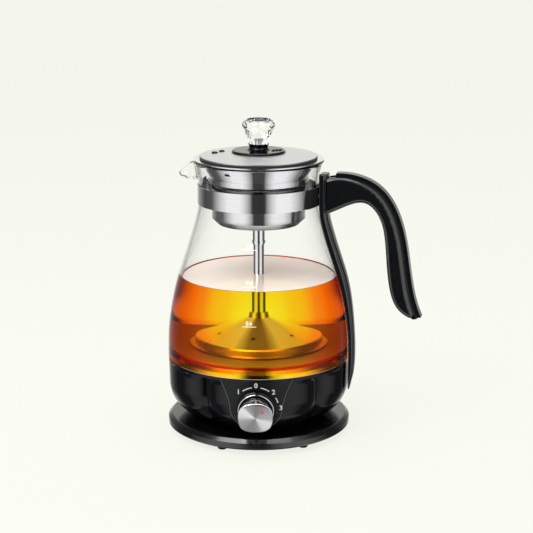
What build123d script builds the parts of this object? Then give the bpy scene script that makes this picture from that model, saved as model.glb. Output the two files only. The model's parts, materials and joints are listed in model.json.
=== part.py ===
"""Automatic spray tea maker: a glass jug with a heated foot on a round power base.

Frame: +Z up, origin on the jug's axis in the plane of the feet, control panel towards -Y.
Units are millimetres and degrees. Azimuths are measured from -Y towards +X.
Radii in capitals that end in _IN or _OUT are distances from the surface that they name.
"""

import os
from math import cos, hypot, radians, sin, sqrt

from build123d import *

os.makedirs("parts", exist_ok=True)

# ---------------------------------------------------------------- fits and clearances
PRESSED = 0.05  # between pieces that are pressed, glued or screwed on each other
SEAT = 0.15  # between pieces of one assembly that lie on each other
LIFT_GAP = 0.3  # between pieces that come apart by hand
RUN_FIT = 0.06  # radial clearance of a shaft in its bore
OVERCUT = 1.0  # how far a cutting tool runs past the face that it cuts through

# ---------------------------------------------------------------- the jug's main sizes
HOUSING_R = 74.0  # black foot of the jug, over its lobes
HOUSING_H = 48.7
GLASS_H = 160.2
NECK_GLASS_R = 48.6
RIM_FLARE = 3.8  # the rim stands this far out from the neck
GLASS_WALL = 2.6
HANDLE_AZIMUTH = 78.8

# ---------------------------------------------------------------- power base
BASE_LIP = 0.6  # the base stands this far out from the housing
BASE_H = 13.0
BASE_SKIRT_Z = 4.5  # lower edge of the base cover
BASE_WALL = 2.2
BASE_ROUND = 3.2
BASE_PLATE_T = 2.0
BASE_PLATE_DROP = 1.0  # the plate's underside stands below the cover's edge
FOOT_COUNT = 6
FOOT_INSET = 10.3  # centre of a foot inside the base's edge
FOOT_R = 3.7
FOOT_TURN = 4.9  # azimuth half-way between the two front feet
FOOT_SINK = 1.2  # how far a foot is let into the base plate
FOOT_BOSS_H = 1.6
BASE_SCREW_COUNT = 3
BASE_SCREW_RING_R = 40.0
BASE_SCREW_TURN = 60.0  # azimuth of the first screw
BASE_SCREW_R = 1.5
BASE_SCREW_BITE = 3.0
SCREW_HEAD_R = 3.0
SCREW_HEAD_T = 1.8
SLOT_W = 0.7
SLOT_DEPTH = 0.9
BOSS_R = 3.8
INLET_R = 3.2  # bore of the cord gland
GLAND_R = 4.1
GLAND_L = 7.9
GLAND_PROUD = 0.4

# ---------------------------------------------------------------- coupling under the jug
PILLAR_R = 8.0
PILLAR_H = 6.6
PILLAR_CHAMFER = 0.8
NECK_R = 12.3  # connector body where it passes the base cover
NECK_PROUD = 0.4
CONNECTOR_FLANGE_R = 15.0
CONNECTOR_FLANGE_T = 2.0
COLLAR_R = 10.8
COLLAR_T = 2.4
PIN_R = 1.6
PIN_SLOT_W = 0.9
CONTACT_DEPTH = 5.0
CONTACT_R = 5.4
CONTACT_T = 0.9
CONTACT_GAP = 0.5
SOCKET_R = 16.0
SOCKET_H = 13.7
SOCKET_FLANGE_W = 3.0
SOCKET_FLANGE_T = 2.0

# ---------------------------------------------------------------- lower housing of the jug
HOUSING_WALL = 2.2
BELT_IN = 0.5  # the wall leans in by this much down to the belt
BELT_H = 27.7  # height above the underside where the wall starts to curve in
BOWL_IN = 27.5  # from the housing's radius to the edge of its flat underside
LOBE_COUNT = 4
LOBE_TURN = 5.0  # azimuth of the middle of the front lobe
LOBE_SHIFT = 10.0  # how far each lobe's own axis stands off the jug's axis
RIM_LAND_IN = 0.4
RIM_LAND_H = 4.0
COVER_T = 2.5
COVER_LAND = 1.8  # flat edge of the housing round the bottom cover
HOUSING_SCREW_COUNT = 3
HOUSING_SCREW_TURN = 65.0
HOUSING_SCREW_INSET = 6.5
HOUSING_SCREW_R = 1.5
HOUSING_SCREW_BITE = 9.0
HEAD_RECESS = 1.3
POST_R = 4.2
POST_H = 15.0
RIB_W = 2.2
RIB_REACH = 26.0

# ---------------------------------------------------------------- control panel and knob
PANEL_T = 1.6
PANEL_ROUND_R = 21.2  # half-round lower end, concentric with the knob
PANEL_FLARE = 8.8  # the panel's top corners stand this far outside its round end
DIAL_H = 25.1  # the knob's axis above the housing's underside
DIAL_TILT = 7.0  # the knob's axis points this far below level
BEZEL_R = 15.3
BEZEL_H = 3.2
BEZEL_CHAMFER = 0.8
KNOB_SKIRT_R = 14.15
KNOB_SKIRT_T = 1.2
KNOB_SKIRT_ROUND = 0.4
KNOB_R = 12.05
KNOB_H = 13.4  # from the skirt to the face
KNOB_CHAMFER = 1.1
KNOB_SHELL = 0.9
KNOB_GAP = 0.5  # skirt above the bezel
SHAFT_R = 3.0
SHAFT_GAP = 0.6  # radial, through the bezel
SHAFT_END_GAP = 0.4
MARKER_R = 1.4
MARKER_AT_R = 7.6
MARKER_AT = 45.0  # clockwise from the top, seen from the front
MARKER_T = 0.55
SWITCH_W = 24.0
SWITCH_H = 22.0
SWITCH_D = 13.0
SWITCH_CLEAR = 3.4  # in front of the switch, behind the housing's wall
SWITCH_BORE_D = 9.3
SWITCH_NOSE_R = 4.3
SWITCH_NOSE_H = 1.0
PIN_L = 6.0

# ---------------------------------------------------------------- glass jug
GLASS_SEAT = 0.6  # the seal's thickness under the glass
GLASS_OUT = 0.2  # the glass stands this far outside the housing
# The body between foot and neck: share of the way in, share of the way up.
GLASS_TAPER = [(0.027, 0.187), (0.164, 0.374), (0.352, 0.530), (0.695, 0.748), (0.930, 0.916)]
NECK_DROP = 34.8  # lower end of the straight neck, below the rim
NECK_L = 16.0
SPOUT_WALL = 1.5
# Each spout section: out from the neck, half width, underside and lip below the glass rim.
SPOUT_SECTIONS = [
    (-4.0, 17.0, 19.6, 0.0),
    (5.4, 12.0, 18.0, 2.3),
    (12.4, 6.6, 17.0, 7.2),
    (17.4, 3.6, 15.8, 12.2),
]
SPOUT_PAST_TIP = 0.6

# ---------------------------------------------------------------- neck band and handle
BAND_T = 0.6
BAND_FIT = 0.1
BAND_EDGE = 0.3  # glass neck left free above and below the band
CLAMP_HALF_ANGLE = 28.0
CLAMP_SPLIT = 0.15  # degrees between band and clamp block
CLAMP_T = 1.6
CLAMP_SCREW_R = 1.7
CLAMP_SCREW_BITE = 4.2  # into the spine
SPINE_RISE = 10.2  # the spine's top above the band
SPINE_NECK_T = 6.55  # thickness beside the clamp block
SPINE_END_H = 22.7  # lower end above the housing's underside
SPINE_HALF = 9.2
SPINE_END_HALF = 4.2
SPINE_TAPER_DROP = 10.0  # the sides start to taper this far below the band
SPINE_SHOULDER = 1.5
SPINE_GAP = 0.8
SPINE_TOP_GAP = 2.0  # where it leaves the neck
# The spine's outer face: height above the glass foot, distance out from the glass.
SPINE_STATIONS = [
    (113.4, 7.4),
    (96.9, 8.7),
    (72.4, 8.2),
    (50.4, 7.1),
    (26.4, 5.75),
    (1.4, 5.4),
    (-15.6, 4.4),
]
SPINE_TIP_T = 1.6
GRIP_HALF = 9.8
GRIP_ROUND = 4.0
GRIP_FRONT_ROUND = 3.0
# The grip's two faces: out from the spine's upper face, down from its top.
GRIP_BACK = [(-0.5, 0.1), (18.5, -0.7), (41.9, 9.1), (56.1, 29.0), (62.4, 48.9), (76.3, 112.5)]
GRIP_FRONT = [
    (-0.5, 31.7),
    (13.5, 25.5),
    (31.0, 21.7),
    (42.0, 33.0),
    (46.7, 51.7),
    (50.4, 86.5),
    (56.4, 104.1),
    (69.0, 113.2),
]
RIB_HALF = 4.4
RIB_PROUD = 3.0
RIB_DEPTH = 2.4
RIB_START = 5.5  # the rib starts this far from the spine
RIB_SLANT = 4.5  # sideways lean of its slanted end, over RIB_SLANT_RUN
RIB_SLANT_RUN = 20.0

# ---------------------------------------------------------------- heater
PLATE_T = 1.0
PLATE_LEDGE = 2.0  # depth of the ledge that carries the plate's flange
PLATE_RISE = 8.5  # top of the plate above the housing
PLATE_IN = 2.8  # between the plate's wall and the glass
PLATE_ROUND = 3.0
PLATE_FLANGE_W = 2.4
SEAL_IN = 0.8
SPREADER_IN = 12.8  # edge of the heat spreader inside the plate's wall
SPREADER_T = 3.0
ELEMENT_IN = 12.0  # ring of the element inside the spreader's edge
ELEMENT_R = 3.6
ELEMENT_SWEEP = 320.0
ELEMENT_LEG_SHARE = 0.8  # leg radius as a share of the tube's
ELEMENT_LEG_L = 12.0
THERMOSTAT_R = 8.0
THERMOSTAT_H = 9.0
TAB_W = 0.8
TAB_L = 6.0

# ---------------------------------------------------------------- spray insert
SHEET_T = 0.8
COLLAR_LIP_IN = 0.4  # the collar's lip ends this far inside the glass rim's edge
COLLAR_THROAT_IN = 2.4  # from the inside of the rim to the collar's cone
COLLAR_DROP = 12.8  # foot of the cone below the glass rim
COLLAR_FOOT_IN = 7.2  # from the inside of the neck to the foot of the cone
COLLAR_RING_OUT = 1.6
COLLAR_RING_H = 4.0
COLLAR_HOLE_R = 2.6  # half-round overflow hole
COLLAR_HOLE_AT = -32.0
COLLAR_HOLE_H = 5.6
CUP_IN = 1.2  # the cup's wall inside the foot of the cone
CUP_H = 34.45
CUP_ROUND = 5.0
GROOVE_DROP = 2.95
GROOVE_DEPTH = 1.2
GROOVE_HALF = 1.5
CUP_HOLE_R = 0.9
CUP_HOLE_RINGS = [(12.0, 12), (19.0, 18), (26.0, 24)]  # ring radius, holes
STUB_R = 4.9
STUB_DROP = 17.9
STUB_BEAD_OUT = 0.6
STUB_BEAD_H = 1.6
STUB_FLANGE_OUT = 2.4
STUB_BELOW_TOP = 8.0
RISER_R = 4.3
RISER_WALL = 0.6
RISER_PROUD = 4.0  # the riser's top above the foot of the cone
SPRAY_R = 9.0
SPRAY_HEAD = 2.4  # the spray cap's roof above the riser's end
SPRAY_DROP = 3.0
SPRAY_HOLES = 12
SPRAY_HOLE_R = 0.7
DIFFUSER_R = 38.9
DIFFUSER_RIM_H = 6.5  # above the heating plate
DIFFUSER_FLANGE_W = 3.1
DIFFUSER_HUB_R = 6.4
DIFFUSER_HUB_H = 23.5
DIFFUSER_HUB_L = 4.0
DIFFUSER_SOCKET = 3.0  # how deep the riser stands in the hub
DIFFUSER_HOLE_R = 1.3
DIFFUSER_HOLE_RING_R = 27.0
DIFFUSER_HOLES = 6
DIFFUSER_HOLE_TURN = -96.0

# ---------------------------------------------------------------- lid
LID_REST = 0.5  # how far the lid's rim overlaps the collar's lip
LID_RIM_T = 1.0
LID_IN = 0.5  # steel disc inside the edge of the rim
LID_RISE = 3.0
LID_SKIRT_GAP = 2.6
LID_SKIRT_T = 1.6
LID_SKIRT_H = 5.0
ESCUTCHEON_R = 21.5
ESCUTCHEON_T = 1.8
ESCUTCHEON_EDGE = 0.8
WAIST_R = 7.4
WAIST_TOP_R = 8.4
WAIST_H = 4.6
WAIST_FLARE = 2.6
CRYSTAL_R = 13.6
CRYSTAL_FOOT_R = 7.4
CRYSTAL_TOP_R = 8.8
CRYSTAL_H = 19.4
CRYSTAL_GIRDLE = (0.58, 0.70)  # the widest part, as shares of the height
CRYSTAL_FACETS = 10
LID_BORE_R = 2.2
LID_SCREW_R = 1.9
LID_SCREW_BITE = 5.5
LID_NUT_R = 4.0
LID_NUT_T = 2.0
VENTS = [(-35.0, 1.0, 1.9), (-29.6, 5.6, 1.7)]  # x, y, radius


# ================================================================ frames and shared shapes
def at_azimuth(radius, azimuth, z=0.0):
    """A point on a circle round the jug's axis."""
    turn = radians(azimuth)
    return (radius * sin(turn), -radius * cos(turn), z)


def spaced(count, first):
    """Azimuths of a pattern of equally spaced places."""
    return [first + i * 360 / count for i in range(count)]


def radial_plane(azimuth, offset=0.0):
    """A plane through the axis: x outwards at the azimuth, y up, shifted sideways by offset."""
    out = at_azimuth(1.0, azimuth)
    normal = Vector(out[0], out[1], 0).cross(Vector(0, 0, 1))
    return Plane(origin=normal * offset, x_dir=out, z_dir=normal)


def outward_plane(azimuth, radius):
    """A plane across the azimuth at a radius: x sideways, y up, z outwards."""
    out = Vector(*at_azimuth(1.0, azimuth))
    return Plane(origin=out * radius, x_dir=Vector(0, 0, 1).cross(out), z_dir=out)


def offset_points(points, distance):
    """The points of an outline moved to its left by a distance."""
    moved = []
    for i, (x, y) in enumerate(points):
        x0, y0 = points[max(i - 1, 0)]
        x1, y1 = points[min(i + 1, len(points) - 1)]
        length = hypot(x1 - x0, y1 - y0)
        moved.append((x - (y1 - y0) / length * distance, y + (x1 - x0) / length * distance))
    return moved


def ring(inner_r, outer_r, low, high, mode=Mode.ADD):
    """A flat ring or disc round the jug's axis."""
    with BuildSketch(Plane.XZ) as half:
        with BuildLine():
            Polyline((inner_r, low), (outer_r, low), (outer_r, high), (inner_r, high), close=True)
        make_face()
    revolve(half.sketch, axis=Axis.Z, mode=mode)


def discs(places, radius, low, height, mode=Mode.ADD):
    """Upright cylinders at places round the axis."""
    with BuildSketch(Plane.XY.offset(low)) as spots:
        with Locations(*places):
            Circle(radius)
    extrude(spots.sketch, amount=height, mode=mode)


def turned(points, mode=Mode.ADD):
    """A closed outline of straight lines, in radius and height, turned round the jug's axis."""
    with BuildSketch(Plane.XZ) as half:
        with BuildLine():
            Polyline(*points, close=True)
        make_face()
    revolve(half.sketch, axis=Axis.Z, mode=mode)


def save(builder, name):
    builder.part.label = name
    export_step(builder.part, f"parts/{name}.step")


# ================================================================ power base
base_r = HOUSING_R + BASE_LIP
base_inner_r = base_r - BASE_WALL
base_underside = BASE_H - BASE_WALL
plate_low = BASE_SKIRT_Z - BASE_PLATE_DROP
plate_high = plate_low + BASE_PLATE_T
foot_places = [at_azimuth(base_r - FOOT_INSET, a) for a in spaced(FOOT_COUNT, FOOT_TURN + 180 / FOOT_COUNT)]
base_screw_places = [at_azimuth(BASE_SCREW_RING_R, a) for a in spaced(BASE_SCREW_COUNT, BASE_SCREW_TURN)]
gland_z = (BASE_SKIRT_Z + base_underside) / 2
gland_start = base_r + GLAND_PROUD - GLAND_L


def gland_bore(radius, start, length, mode):
    """A round bar along the gland's axis at the back of the base."""
    with BuildSketch(outward_plane(180, start)) as section:
        with Locations((0, gland_z)):
            Circle(radius)
    extrude(section.sketch, amount=length, mode=mode)


with BuildPart() as base_cover:
    turned(
        [
            (0, BASE_H),
            (base_r - BASE_ROUND, BASE_H),
            (base_r, BASE_H - BASE_ROUND),
            (base_r, BASE_SKIRT_Z + BASE_WALL / 2),
            (base_r - BASE_WALL / 2, BASE_SKIRT_Z),
            (base_inner_r, BASE_SKIRT_Z),
            (base_inner_r, base_underside - BASE_WALL / 2),
            (base_inner_r - BASE_WALL / 2, base_underside),
            (0, base_underside),
        ]
    )
    fillet(base_cover.edges().filter_by(GeomType.CIRCLE).group_by(Axis.Z)[-1], BASE_ROUND * 0.7)
    boss_low = plate_high + SEAT
    discs(base_screw_places, BOSS_R, boss_low, base_underside + OVERCUT - boss_low)
    discs(base_screw_places, BASE_SCREW_R, plate_high, BASE_SCREW_BITE + OVERCUT, Mode.SUBTRACT)
    ring(0, NECK_R + SEAT, base_underside - OVERCUT, BASE_H + OVERCUT, Mode.SUBTRACT)
    gland_bore(GLAND_R + SEAT, gland_start - OVERCUT, GLAND_L + 2 * OVERCUT, Mode.SUBTRACT)
save(base_cover, "base_cover")

with BuildPart() as base_plate:
    ring(0, base_inner_r - SEAT, plate_low, plate_high)
    chamfer(base_plate.edges().group_by(Axis.Z)[0], BASE_PLATE_T * 0.3)
    discs(foot_places, FOOT_R + BASE_WALL, plate_high, FOOT_BOSS_H)
    discs(foot_places, FOOT_R + SEAT, plate_low, FOOT_SINK, Mode.SUBTRACT)
    discs(base_screw_places, BASE_SCREW_R + SEAT, plate_low, BASE_PLATE_T, Mode.SUBTRACT)
    ring(0, CONNECTOR_FLANGE_R, plate_high, base_underside - CONNECTOR_FLANGE_T - SEAT)
    gland_bore(GLAND_R + SEAT, gland_start - 2 * OVERCUT, GLAND_L + 3 * OVERCUT, Mode.SUBTRACT)
save(base_plate, "base_plate")

with BuildPart() as base_feet:
    discs(foot_places, FOOT_R, 0, plate_low + FOOT_SINK - PRESSED)
    chamfer(base_feet.edges().group_by(Axis.Z)[0], FOOT_R * 0.12)
save(base_feet, "base_feet")

with BuildPart() as base_screws:
    discs(base_screw_places, SCREW_HEAD_R, plate_low - SCREW_HEAD_T, SCREW_HEAD_T)
    fillet(base_screws.edges().group_by(Axis.Z)[0], SCREW_HEAD_T * 0.5)
    discs(base_screw_places, BASE_SCREW_R - PRESSED, plate_low, BASE_PLATE_T + BASE_SCREW_BITE)
    with BuildSketch(Plane.XY.offset(plate_low - SCREW_HEAD_T)):
        with Locations(*base_screw_places):
            Rectangle(SCREW_HEAD_R * 1.2, SLOT_W)
            Rectangle(SLOT_W, SCREW_HEAD_R * 1.2)
    extrude(amount=SLOT_DEPTH, mode=Mode.SUBTRACT)
save(base_screws, "base_screws")

with BuildPart() as cord_gland:
    gland_bore(GLAND_R, gland_start, GLAND_L, Mode.ADD)
    gland_bore(INLET_R, gland_start, GLAND_L, Mode.SUBTRACT)
save(cord_gland, "cord_gland")

neck_top = BASE_H + NECK_PROUD
pillar_top = neck_top + PILLAR_H
contact_low = pillar_top - CONTACT_DEPTH
with BuildPart() as male_connector:
    ring(0, CONNECTOR_FLANGE_R, base_underside - CONNECTOR_FLANGE_T, base_underside - PRESSED)
    ring(0, NECK_R, base_underside - CONNECTOR_FLANGE_T, neck_top)
    ring(0, PILLAR_R, base_underside, pillar_top)
    chamfer(male_connector.edges().group_by(Axis.Z)[-1], PILLAR_CHAMFER)
    ring(0, PIN_R + PIN_SLOT_W, contact_low, pillar_top + OVERCUT, Mode.SUBTRACT)
    slot_inner = CONTACT_R - CONTACT_T - CONTACT_GAP
    ring(slot_inner, CONTACT_R + CONTACT_GAP, contact_low, pillar_top + OVERCUT, Mode.SUBTRACT)
save(male_connector, "male_connector")

with BuildPart() as base_contacts:
    ring(0, PIN_R, contact_low + PRESSED, pillar_top - CONTACT_GAP)
    ring(CONTACT_R - CONTACT_T, CONTACT_R, contact_low + PRESSED, pillar_top - 2 * CONTACT_GAP)
save(base_contacts, "base_contacts")

turn_low = neck_top + SEAT
turn_high = turn_low + COLLAR_T
with BuildPart() as connector_collar:
    ring(PILLAR_R + RUN_FIT, COLLAR_R, turn_low, turn_high)
    chamfer(connector_collar.edges().group_by(Axis.Z)[-1].sort_by(SortBy.RADIUS)[-1], COLLAR_T * 0.2)
save(connector_collar, "connector_collar")

# ================================================================ foot of the jug
foot_z = BASE_H + LIFT_GAP  # underside of the jug when it stands on the base
housing_top = foot_z + HOUSING_H
belt_r = HOUSING_R - BELT_IN
belt_z = foot_z + BELT_H
bowl_r = HOUSING_R - BOWL_IN
half_lobe = radians(180 / LOBE_COUNT)


def crease_radius(lobe_r):
    """Distance from the jug's axis to the crease between two lobes of a radius."""
    return LOBE_SHIFT * cos(half_lobe) + sqrt(lobe_r**2 - (LOBE_SHIFT * sin(half_lobe)) ** 2)


crease_r = crease_radius(HOUSING_R - LOBE_SHIFT)
cavity_r = crease_r - HOUSING_WALL
cover_r = crease_radius(bowl_r - LOBE_SHIFT) - COVER_LAND
cavity_low = foot_z + COVER_T + SEAT
rim_land_r = HOUSING_R - RIM_LAND_IN
glass_foot_r = HOUSING_R + GLASS_OUT
glass_foot_z = housing_top + GLASS_SEAT
plate_r = glass_foot_r - GLASS_WALL - PLATE_IN
plate_flange_r = plate_r + PLATE_FLANGE_W
ledge_z = housing_top - PLATE_LEDGE
screw_azimuths = spaced(HOUSING_SCREW_COUNT, HOUSING_SCREW_TURN)
screw_ring_r = cover_r - HOUSING_SCREW_INSET
screw_places = [at_azimuth(screw_ring_r, a) for a in screw_azimuths]

with BuildPart() as female_connector:
    socket_top = foot_z + SOCKET_H
    ring(0, SOCKET_R, foot_z + GLASS_SEAT, socket_top)
    ring(0, COLLAR_R + LIFT_GAP, foot_z, turn_high + LIFT_GAP, Mode.SUBTRACT)
    ring(0, PILLAR_R + LIFT_GAP, foot_z, pillar_top + LIFT_GAP, Mode.SUBTRACT)
    ring(SOCKET_R, SOCKET_R + SOCKET_FLANGE_W, cavity_low, cavity_low + SOCKET_FLANGE_T)
save(female_connector, "female_connector")

with BuildPart() as bottom_cover:
    ring(SOCKET_R + SEAT, cover_r, foot_z, foot_z + COVER_T)
    discs(screw_places, HOUSING_SCREW_R + SEAT, foot_z, COVER_T, Mode.SUBTRACT)
    discs(screw_places, SCREW_HEAD_R + LIFT_GAP, foot_z, HEAD_RECESS, Mode.SUBTRACT)
save(bottom_cover, "bottom_cover")

with BuildPart() as housing_screws:
    discs(screw_places, SCREW_HEAD_R, foot_z + HEAD_RECESS - SCREW_HEAD_T / 2, SCREW_HEAD_T / 2)
    discs(screw_places, HOUSING_SCREW_R - PRESSED, foot_z + HEAD_RECESS, HOUSING_SCREW_BITE)
save(housing_screws, "housing_screws")


def revolve_lobe(azimuth, inset, mode=Mode.ADD):
    """One lobe of the housing about its own axis, its skin pulled in by inset."""
    centre = Vector(*at_azimuth(LOBE_SHIFT, azimuth))
    side_r = HOUSING_R - LOBE_SHIFT - inset
    lobe_belt_r = belt_r - LOBE_SHIFT - inset
    lobe_bowl_r = bowl_r - LOBE_SHIFT
    low = foot_z + inset
    with BuildSketch(Plane(origin=centre, x_dir=(1, 0, 0), z_dir=(0, -1, 0))) as half:
        with BuildLine():
            Polyline((0, housing_top), (side_r, housing_top), (lobe_belt_r, belt_z))
            EllipticalCenterArc(
                (lobe_bowl_r, belt_z), lobe_belt_r - lobe_bowl_r, belt_z - low, start_angle=270, arc_size=90
            )
            Polyline((lobe_bowl_r, low), (0, low), (0, housing_top))
        make_face()
    revolve(half.sketch, axis=Axis(centre, (0, 0, 1)), mode=mode)


# Shapes that the housing, the panel and the bezel are cut from.
dial_z = foot_z + DIAL_H


def dial_plane(height):
    """Across the knob's axis: x to the right seen from the front, y up the panel, z outwards."""
    tilt = radians(DIAL_TILT)
    normal = Vector(0, -cos(tilt), -sin(tilt))
    return Plane(origin=Vector(0, -belt_r, dial_z) + normal * height, x_dir=(1, 0, 0), z_dir=normal)


def dial_disc(radius, low, high, mode=Mode.ADD):
    """A disc on the knob's axis between two heights over the panel."""
    with BuildSketch(dial_plane(low)) as section:
        Circle(radius)
    extrude(section.sketch, amount=high - low, mode=mode)


wall_back = -(HOUSING_WALL + HOUSING_R - crease_r + PANEL_T)  # behind the wall, on the knob's axis
panel_top = housing_top + OVERCUT
panel_top_half = PANEL_ROUND_R + PANEL_FLARE
side_lean = (0.12, 1)
top_lean = (0.42, 1)
with BuildPart() as panel_shape:
    with BuildSketch(Plane.XZ.offset(HOUSING_R / 2)):
        with BuildLine():
            ThreePointArc(
                (-PANEL_ROUND_R, dial_z), (0, dial_z - PANEL_ROUND_R), (PANEL_ROUND_R, dial_z)
            )
            right = Spline(
                (PANEL_ROUND_R, dial_z), (panel_top_half, panel_top), tangents=[side_lean, top_lean]
            )
            mirror(right, about=Plane.YZ)
            Line((panel_top_half, panel_top), (-panel_top_half, panel_top))
        make_face()
    extrude(amount=HOUSING_R)

with BuildPart() as panel_pocket:
    revolve_lobe(LOBE_TURN, -OVERCUT)
    revolve_lobe(LOBE_TURN, PANEL_T + SEAT, Mode.SUBTRACT)
    add(panel_shape.part, mode=Mode.INTERSECT)

with BuildPart() as control_panel:
    revolve_lobe(LOBE_TURN, 0.0)
    revolve_lobe(LOBE_TURN, PANEL_T, Mode.SUBTRACT)
    add(panel_shape.part, mode=Mode.INTERSECT)
    ring(0, plate_flange_r + SEAT, ledge_z, panel_top, Mode.SUBTRACT)
    dial_disc(SHAFT_R + SHAFT_GAP, wall_back, BEZEL_H, Mode.SUBTRACT)
save(control_panel, "control_panel")

with BuildPart() as housing_form:
    for azimuth in spaced(LOBE_COUNT, LOBE_TURN):
        revolve_lobe(azimuth, 0.0)
    ring(0, rim_land_r, housing_top - RIM_LAND_H, housing_top)

with BuildPart() as housing_shell:
    add(housing_form.part)
    with BuildSketch(Plane.XZ):
        with BuildLine():
            Polyline((0, panel_top), (cavity_r, panel_top), (cavity_r, belt_z))
            EllipticalCenterArc(
                (cover_r, belt_z), cavity_r - cover_r, belt_z - cavity_low, start_angle=270, arc_size=90
            )
            Polyline((cover_r, cavity_low), (0, cavity_low), (0, panel_top))
        make_face()
    revolve(axis=Axis.Z, mode=Mode.SUBTRACT)
    ring(0, cover_r + SEAT, foot_z - OVERCUT, cavity_low + OVERCUT, Mode.SUBTRACT)
    ring(0, plate_flange_r + SEAT, ledge_z, panel_top, Mode.SUBTRACT)

with BuildPart() as lower_housing:
    discs(screw_places, POST_R, cavity_low, POST_H)
    with BuildSketch(Plane.XY.offset(cavity_low)):
        for azimuth in screw_azimuths:
            middle = at_azimuth(screw_ring_r + RIB_REACH / 2, azimuth)
            with Locations(Location(middle, azimuth)):
                Rectangle(RIB_W, RIB_REACH)
    extrude(amount=POST_H)
    add(housing_form.part, mode=Mode.INTERSECT)
    discs(screw_places, HOUSING_SCREW_R, cavity_low, POST_H - HOUSING_WALL, Mode.SUBTRACT)
    add(housing_shell.part)
    add(panel_pocket.part, mode=Mode.SUBTRACT)
    dial_disc(SHAFT_R + SHAFT_GAP + HOUSING_WALL / 2, 2 * wall_back, BEZEL_H, Mode.SUBTRACT)
save(lower_housing, "lower_housing")

with BuildPart() as dial_bezel:
    dial_disc(BEZEL_R, wall_back, BEZEL_H)
    chamfer(dial_bezel.edges().sort_by(Axis.Y)[0], BEZEL_CHAMFER)
    revolve_lobe(LOBE_TURN, -SEAT, Mode.SUBTRACT)
    dial_disc(SHAFT_R + SHAFT_GAP, wall_back, BEZEL_H + OVERCUT, Mode.SUBTRACT)
save(dial_bezel, "dial_bezel")

# ================================================================ knob
skirt_at = BEZEL_H + KNOB_GAP
face_at = skirt_at + KNOB_H
core_r = KNOB_R - KNOB_SHELL
core_top = face_at - KNOB_SHELL


def marker_disc(radius, low, high, mode=Mode.ADD):
    """A small disc at the marker's place on the knob."""
    with BuildSketch(dial_plane(low)) as section:
        with PolarLocations(MARKER_AT_R, 1, start_angle=90 - MARKER_AT):
            Circle(radius)
    extrude(section.sketch, amount=high - low, mode=mode)


with BuildPart() as knob_cap:
    dial_disc(KNOB_SKIRT_R, skirt_at, skirt_at + KNOB_SKIRT_T)
    fillet(knob_cap.edges().sort_by(Axis.Y)[0], KNOB_SKIRT_ROUND)
    dial_disc(KNOB_R, skirt_at, face_at)
    chamfer(knob_cap.edges().sort_by(Axis.Y)[0], KNOB_CHAMFER)
    dial_disc(core_r, skirt_at, core_top, Mode.SUBTRACT)
    marker_disc(MARKER_R + PRESSED, face_at - MARKER_T, face_at + OVERCUT, Mode.SUBTRACT)
save(knob_cap, "knob_cap")

with BuildPart() as knob_core:
    dial_disc(core_r - PRESSED, skirt_at + LIFT_GAP, core_top - PRESSED)
    dial_disc(SHAFT_R + PRESSED, skirt_at, core_top, Mode.SUBTRACT)
save(knob_core, "knob_core")

with BuildPart() as knob_marker:
    marker_disc(MARKER_R, face_at - MARKER_T + PRESSED, face_at + PRESSED)
save(knob_marker, "knob_marker")

switch_front = wall_back - SWITCH_CLEAR
shaft_end = switch_front - SWITCH_BORE_D
with BuildPart() as switch_shaft:
    dial_disc(SHAFT_R, shaft_end + SEAT, core_top - SHAFT_END_GAP)
save(switch_shaft, "switch_shaft")

with BuildPart() as rotary_switch:
    with BuildSketch(dial_plane(switch_front)):
        Rectangle(SWITCH_W, SWITCH_H)
    extrude(amount=-SWITCH_D)
    dial_disc(SWITCH_NOSE_R, switch_front, switch_front + SWITCH_NOSE_H)
    with BuildSketch(dial_plane(switch_front - SWITCH_D)):
        with GridLocations(SWITCH_W * 0.3, SWITCH_H * 0.45, 3, 2):
            Rectangle(TAB_W * 5, TAB_W)
    extrude(amount=-PIN_L)
    dial_disc(SHAFT_R + RUN_FIT, shaft_end, switch_front + SWITCH_NOSE_H + OVERCUT, Mode.SUBTRACT)
save(rotary_switch, "rotary_switch")

# ================================================================ heater
flange_z = ledge_z + SEAT
heat_top = housing_top + PLATE_RISE
heat_under = heat_top - PLATE_T
with BuildPart() as heating_plate:
    turned(
        [
            (0, heat_top),
            (plate_r - PLATE_ROUND, heat_top),
            (plate_r, heat_top - PLATE_ROUND),
            (plate_r, flange_z + PLATE_T),
            (plate_flange_r, flange_z + PLATE_T),
            (plate_flange_r, flange_z),
            (plate_r - PLATE_T, flange_z),
            (plate_r - PLATE_T, heat_under - PLATE_ROUND),
            (plate_r - PLATE_T - PLATE_ROUND, heat_under),
            (0, heat_under),
        ]
    )
save(heating_plate, "heating_plate")

with BuildPart() as glass_seal:
    seal_high = glass_foot_z - PRESSED
    ring(plate_r + SEAT, plate_flange_r, flange_z + PLATE_T + PRESSED, seal_high)
    ring(plate_r + SEAT, glass_foot_r - SEAL_IN, housing_top + PRESSED, seal_high)
save(glass_seal, "glass_seal")

spreader_high = heat_under - PRESSED
spreader_low = spreader_high - SPREADER_T
spreader_r = plate_r - SPREADER_IN
with BuildPart() as heat_spreader:
    ring(0, spreader_r, spreader_low, spreader_high)
save(heat_spreader, "heat_spreader")

element_ring_r = spreader_r - ELEMENT_IN
element_z = spreader_low - PRESSED - ELEMENT_R
with BuildPart() as heating_element:
    with BuildSketch(Plane.XZ):
        with Locations((element_ring_r, element_z)):
            Circle(ELEMENT_R)
    revolve(axis=Axis.Z, revolution_arc=ELEMENT_SWEEP)
    leg_azimuths = (90, 90 - (360 - ELEMENT_SWEEP))
    leg_places = [at_azimuth(element_ring_r, a) for a in leg_azimuths]
    discs(leg_places, ELEMENT_R * ELEMENT_LEG_SHARE, element_z - ELEMENT_LEG_L, ELEMENT_LEG_L)
save(heating_element, "heating_element")

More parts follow.
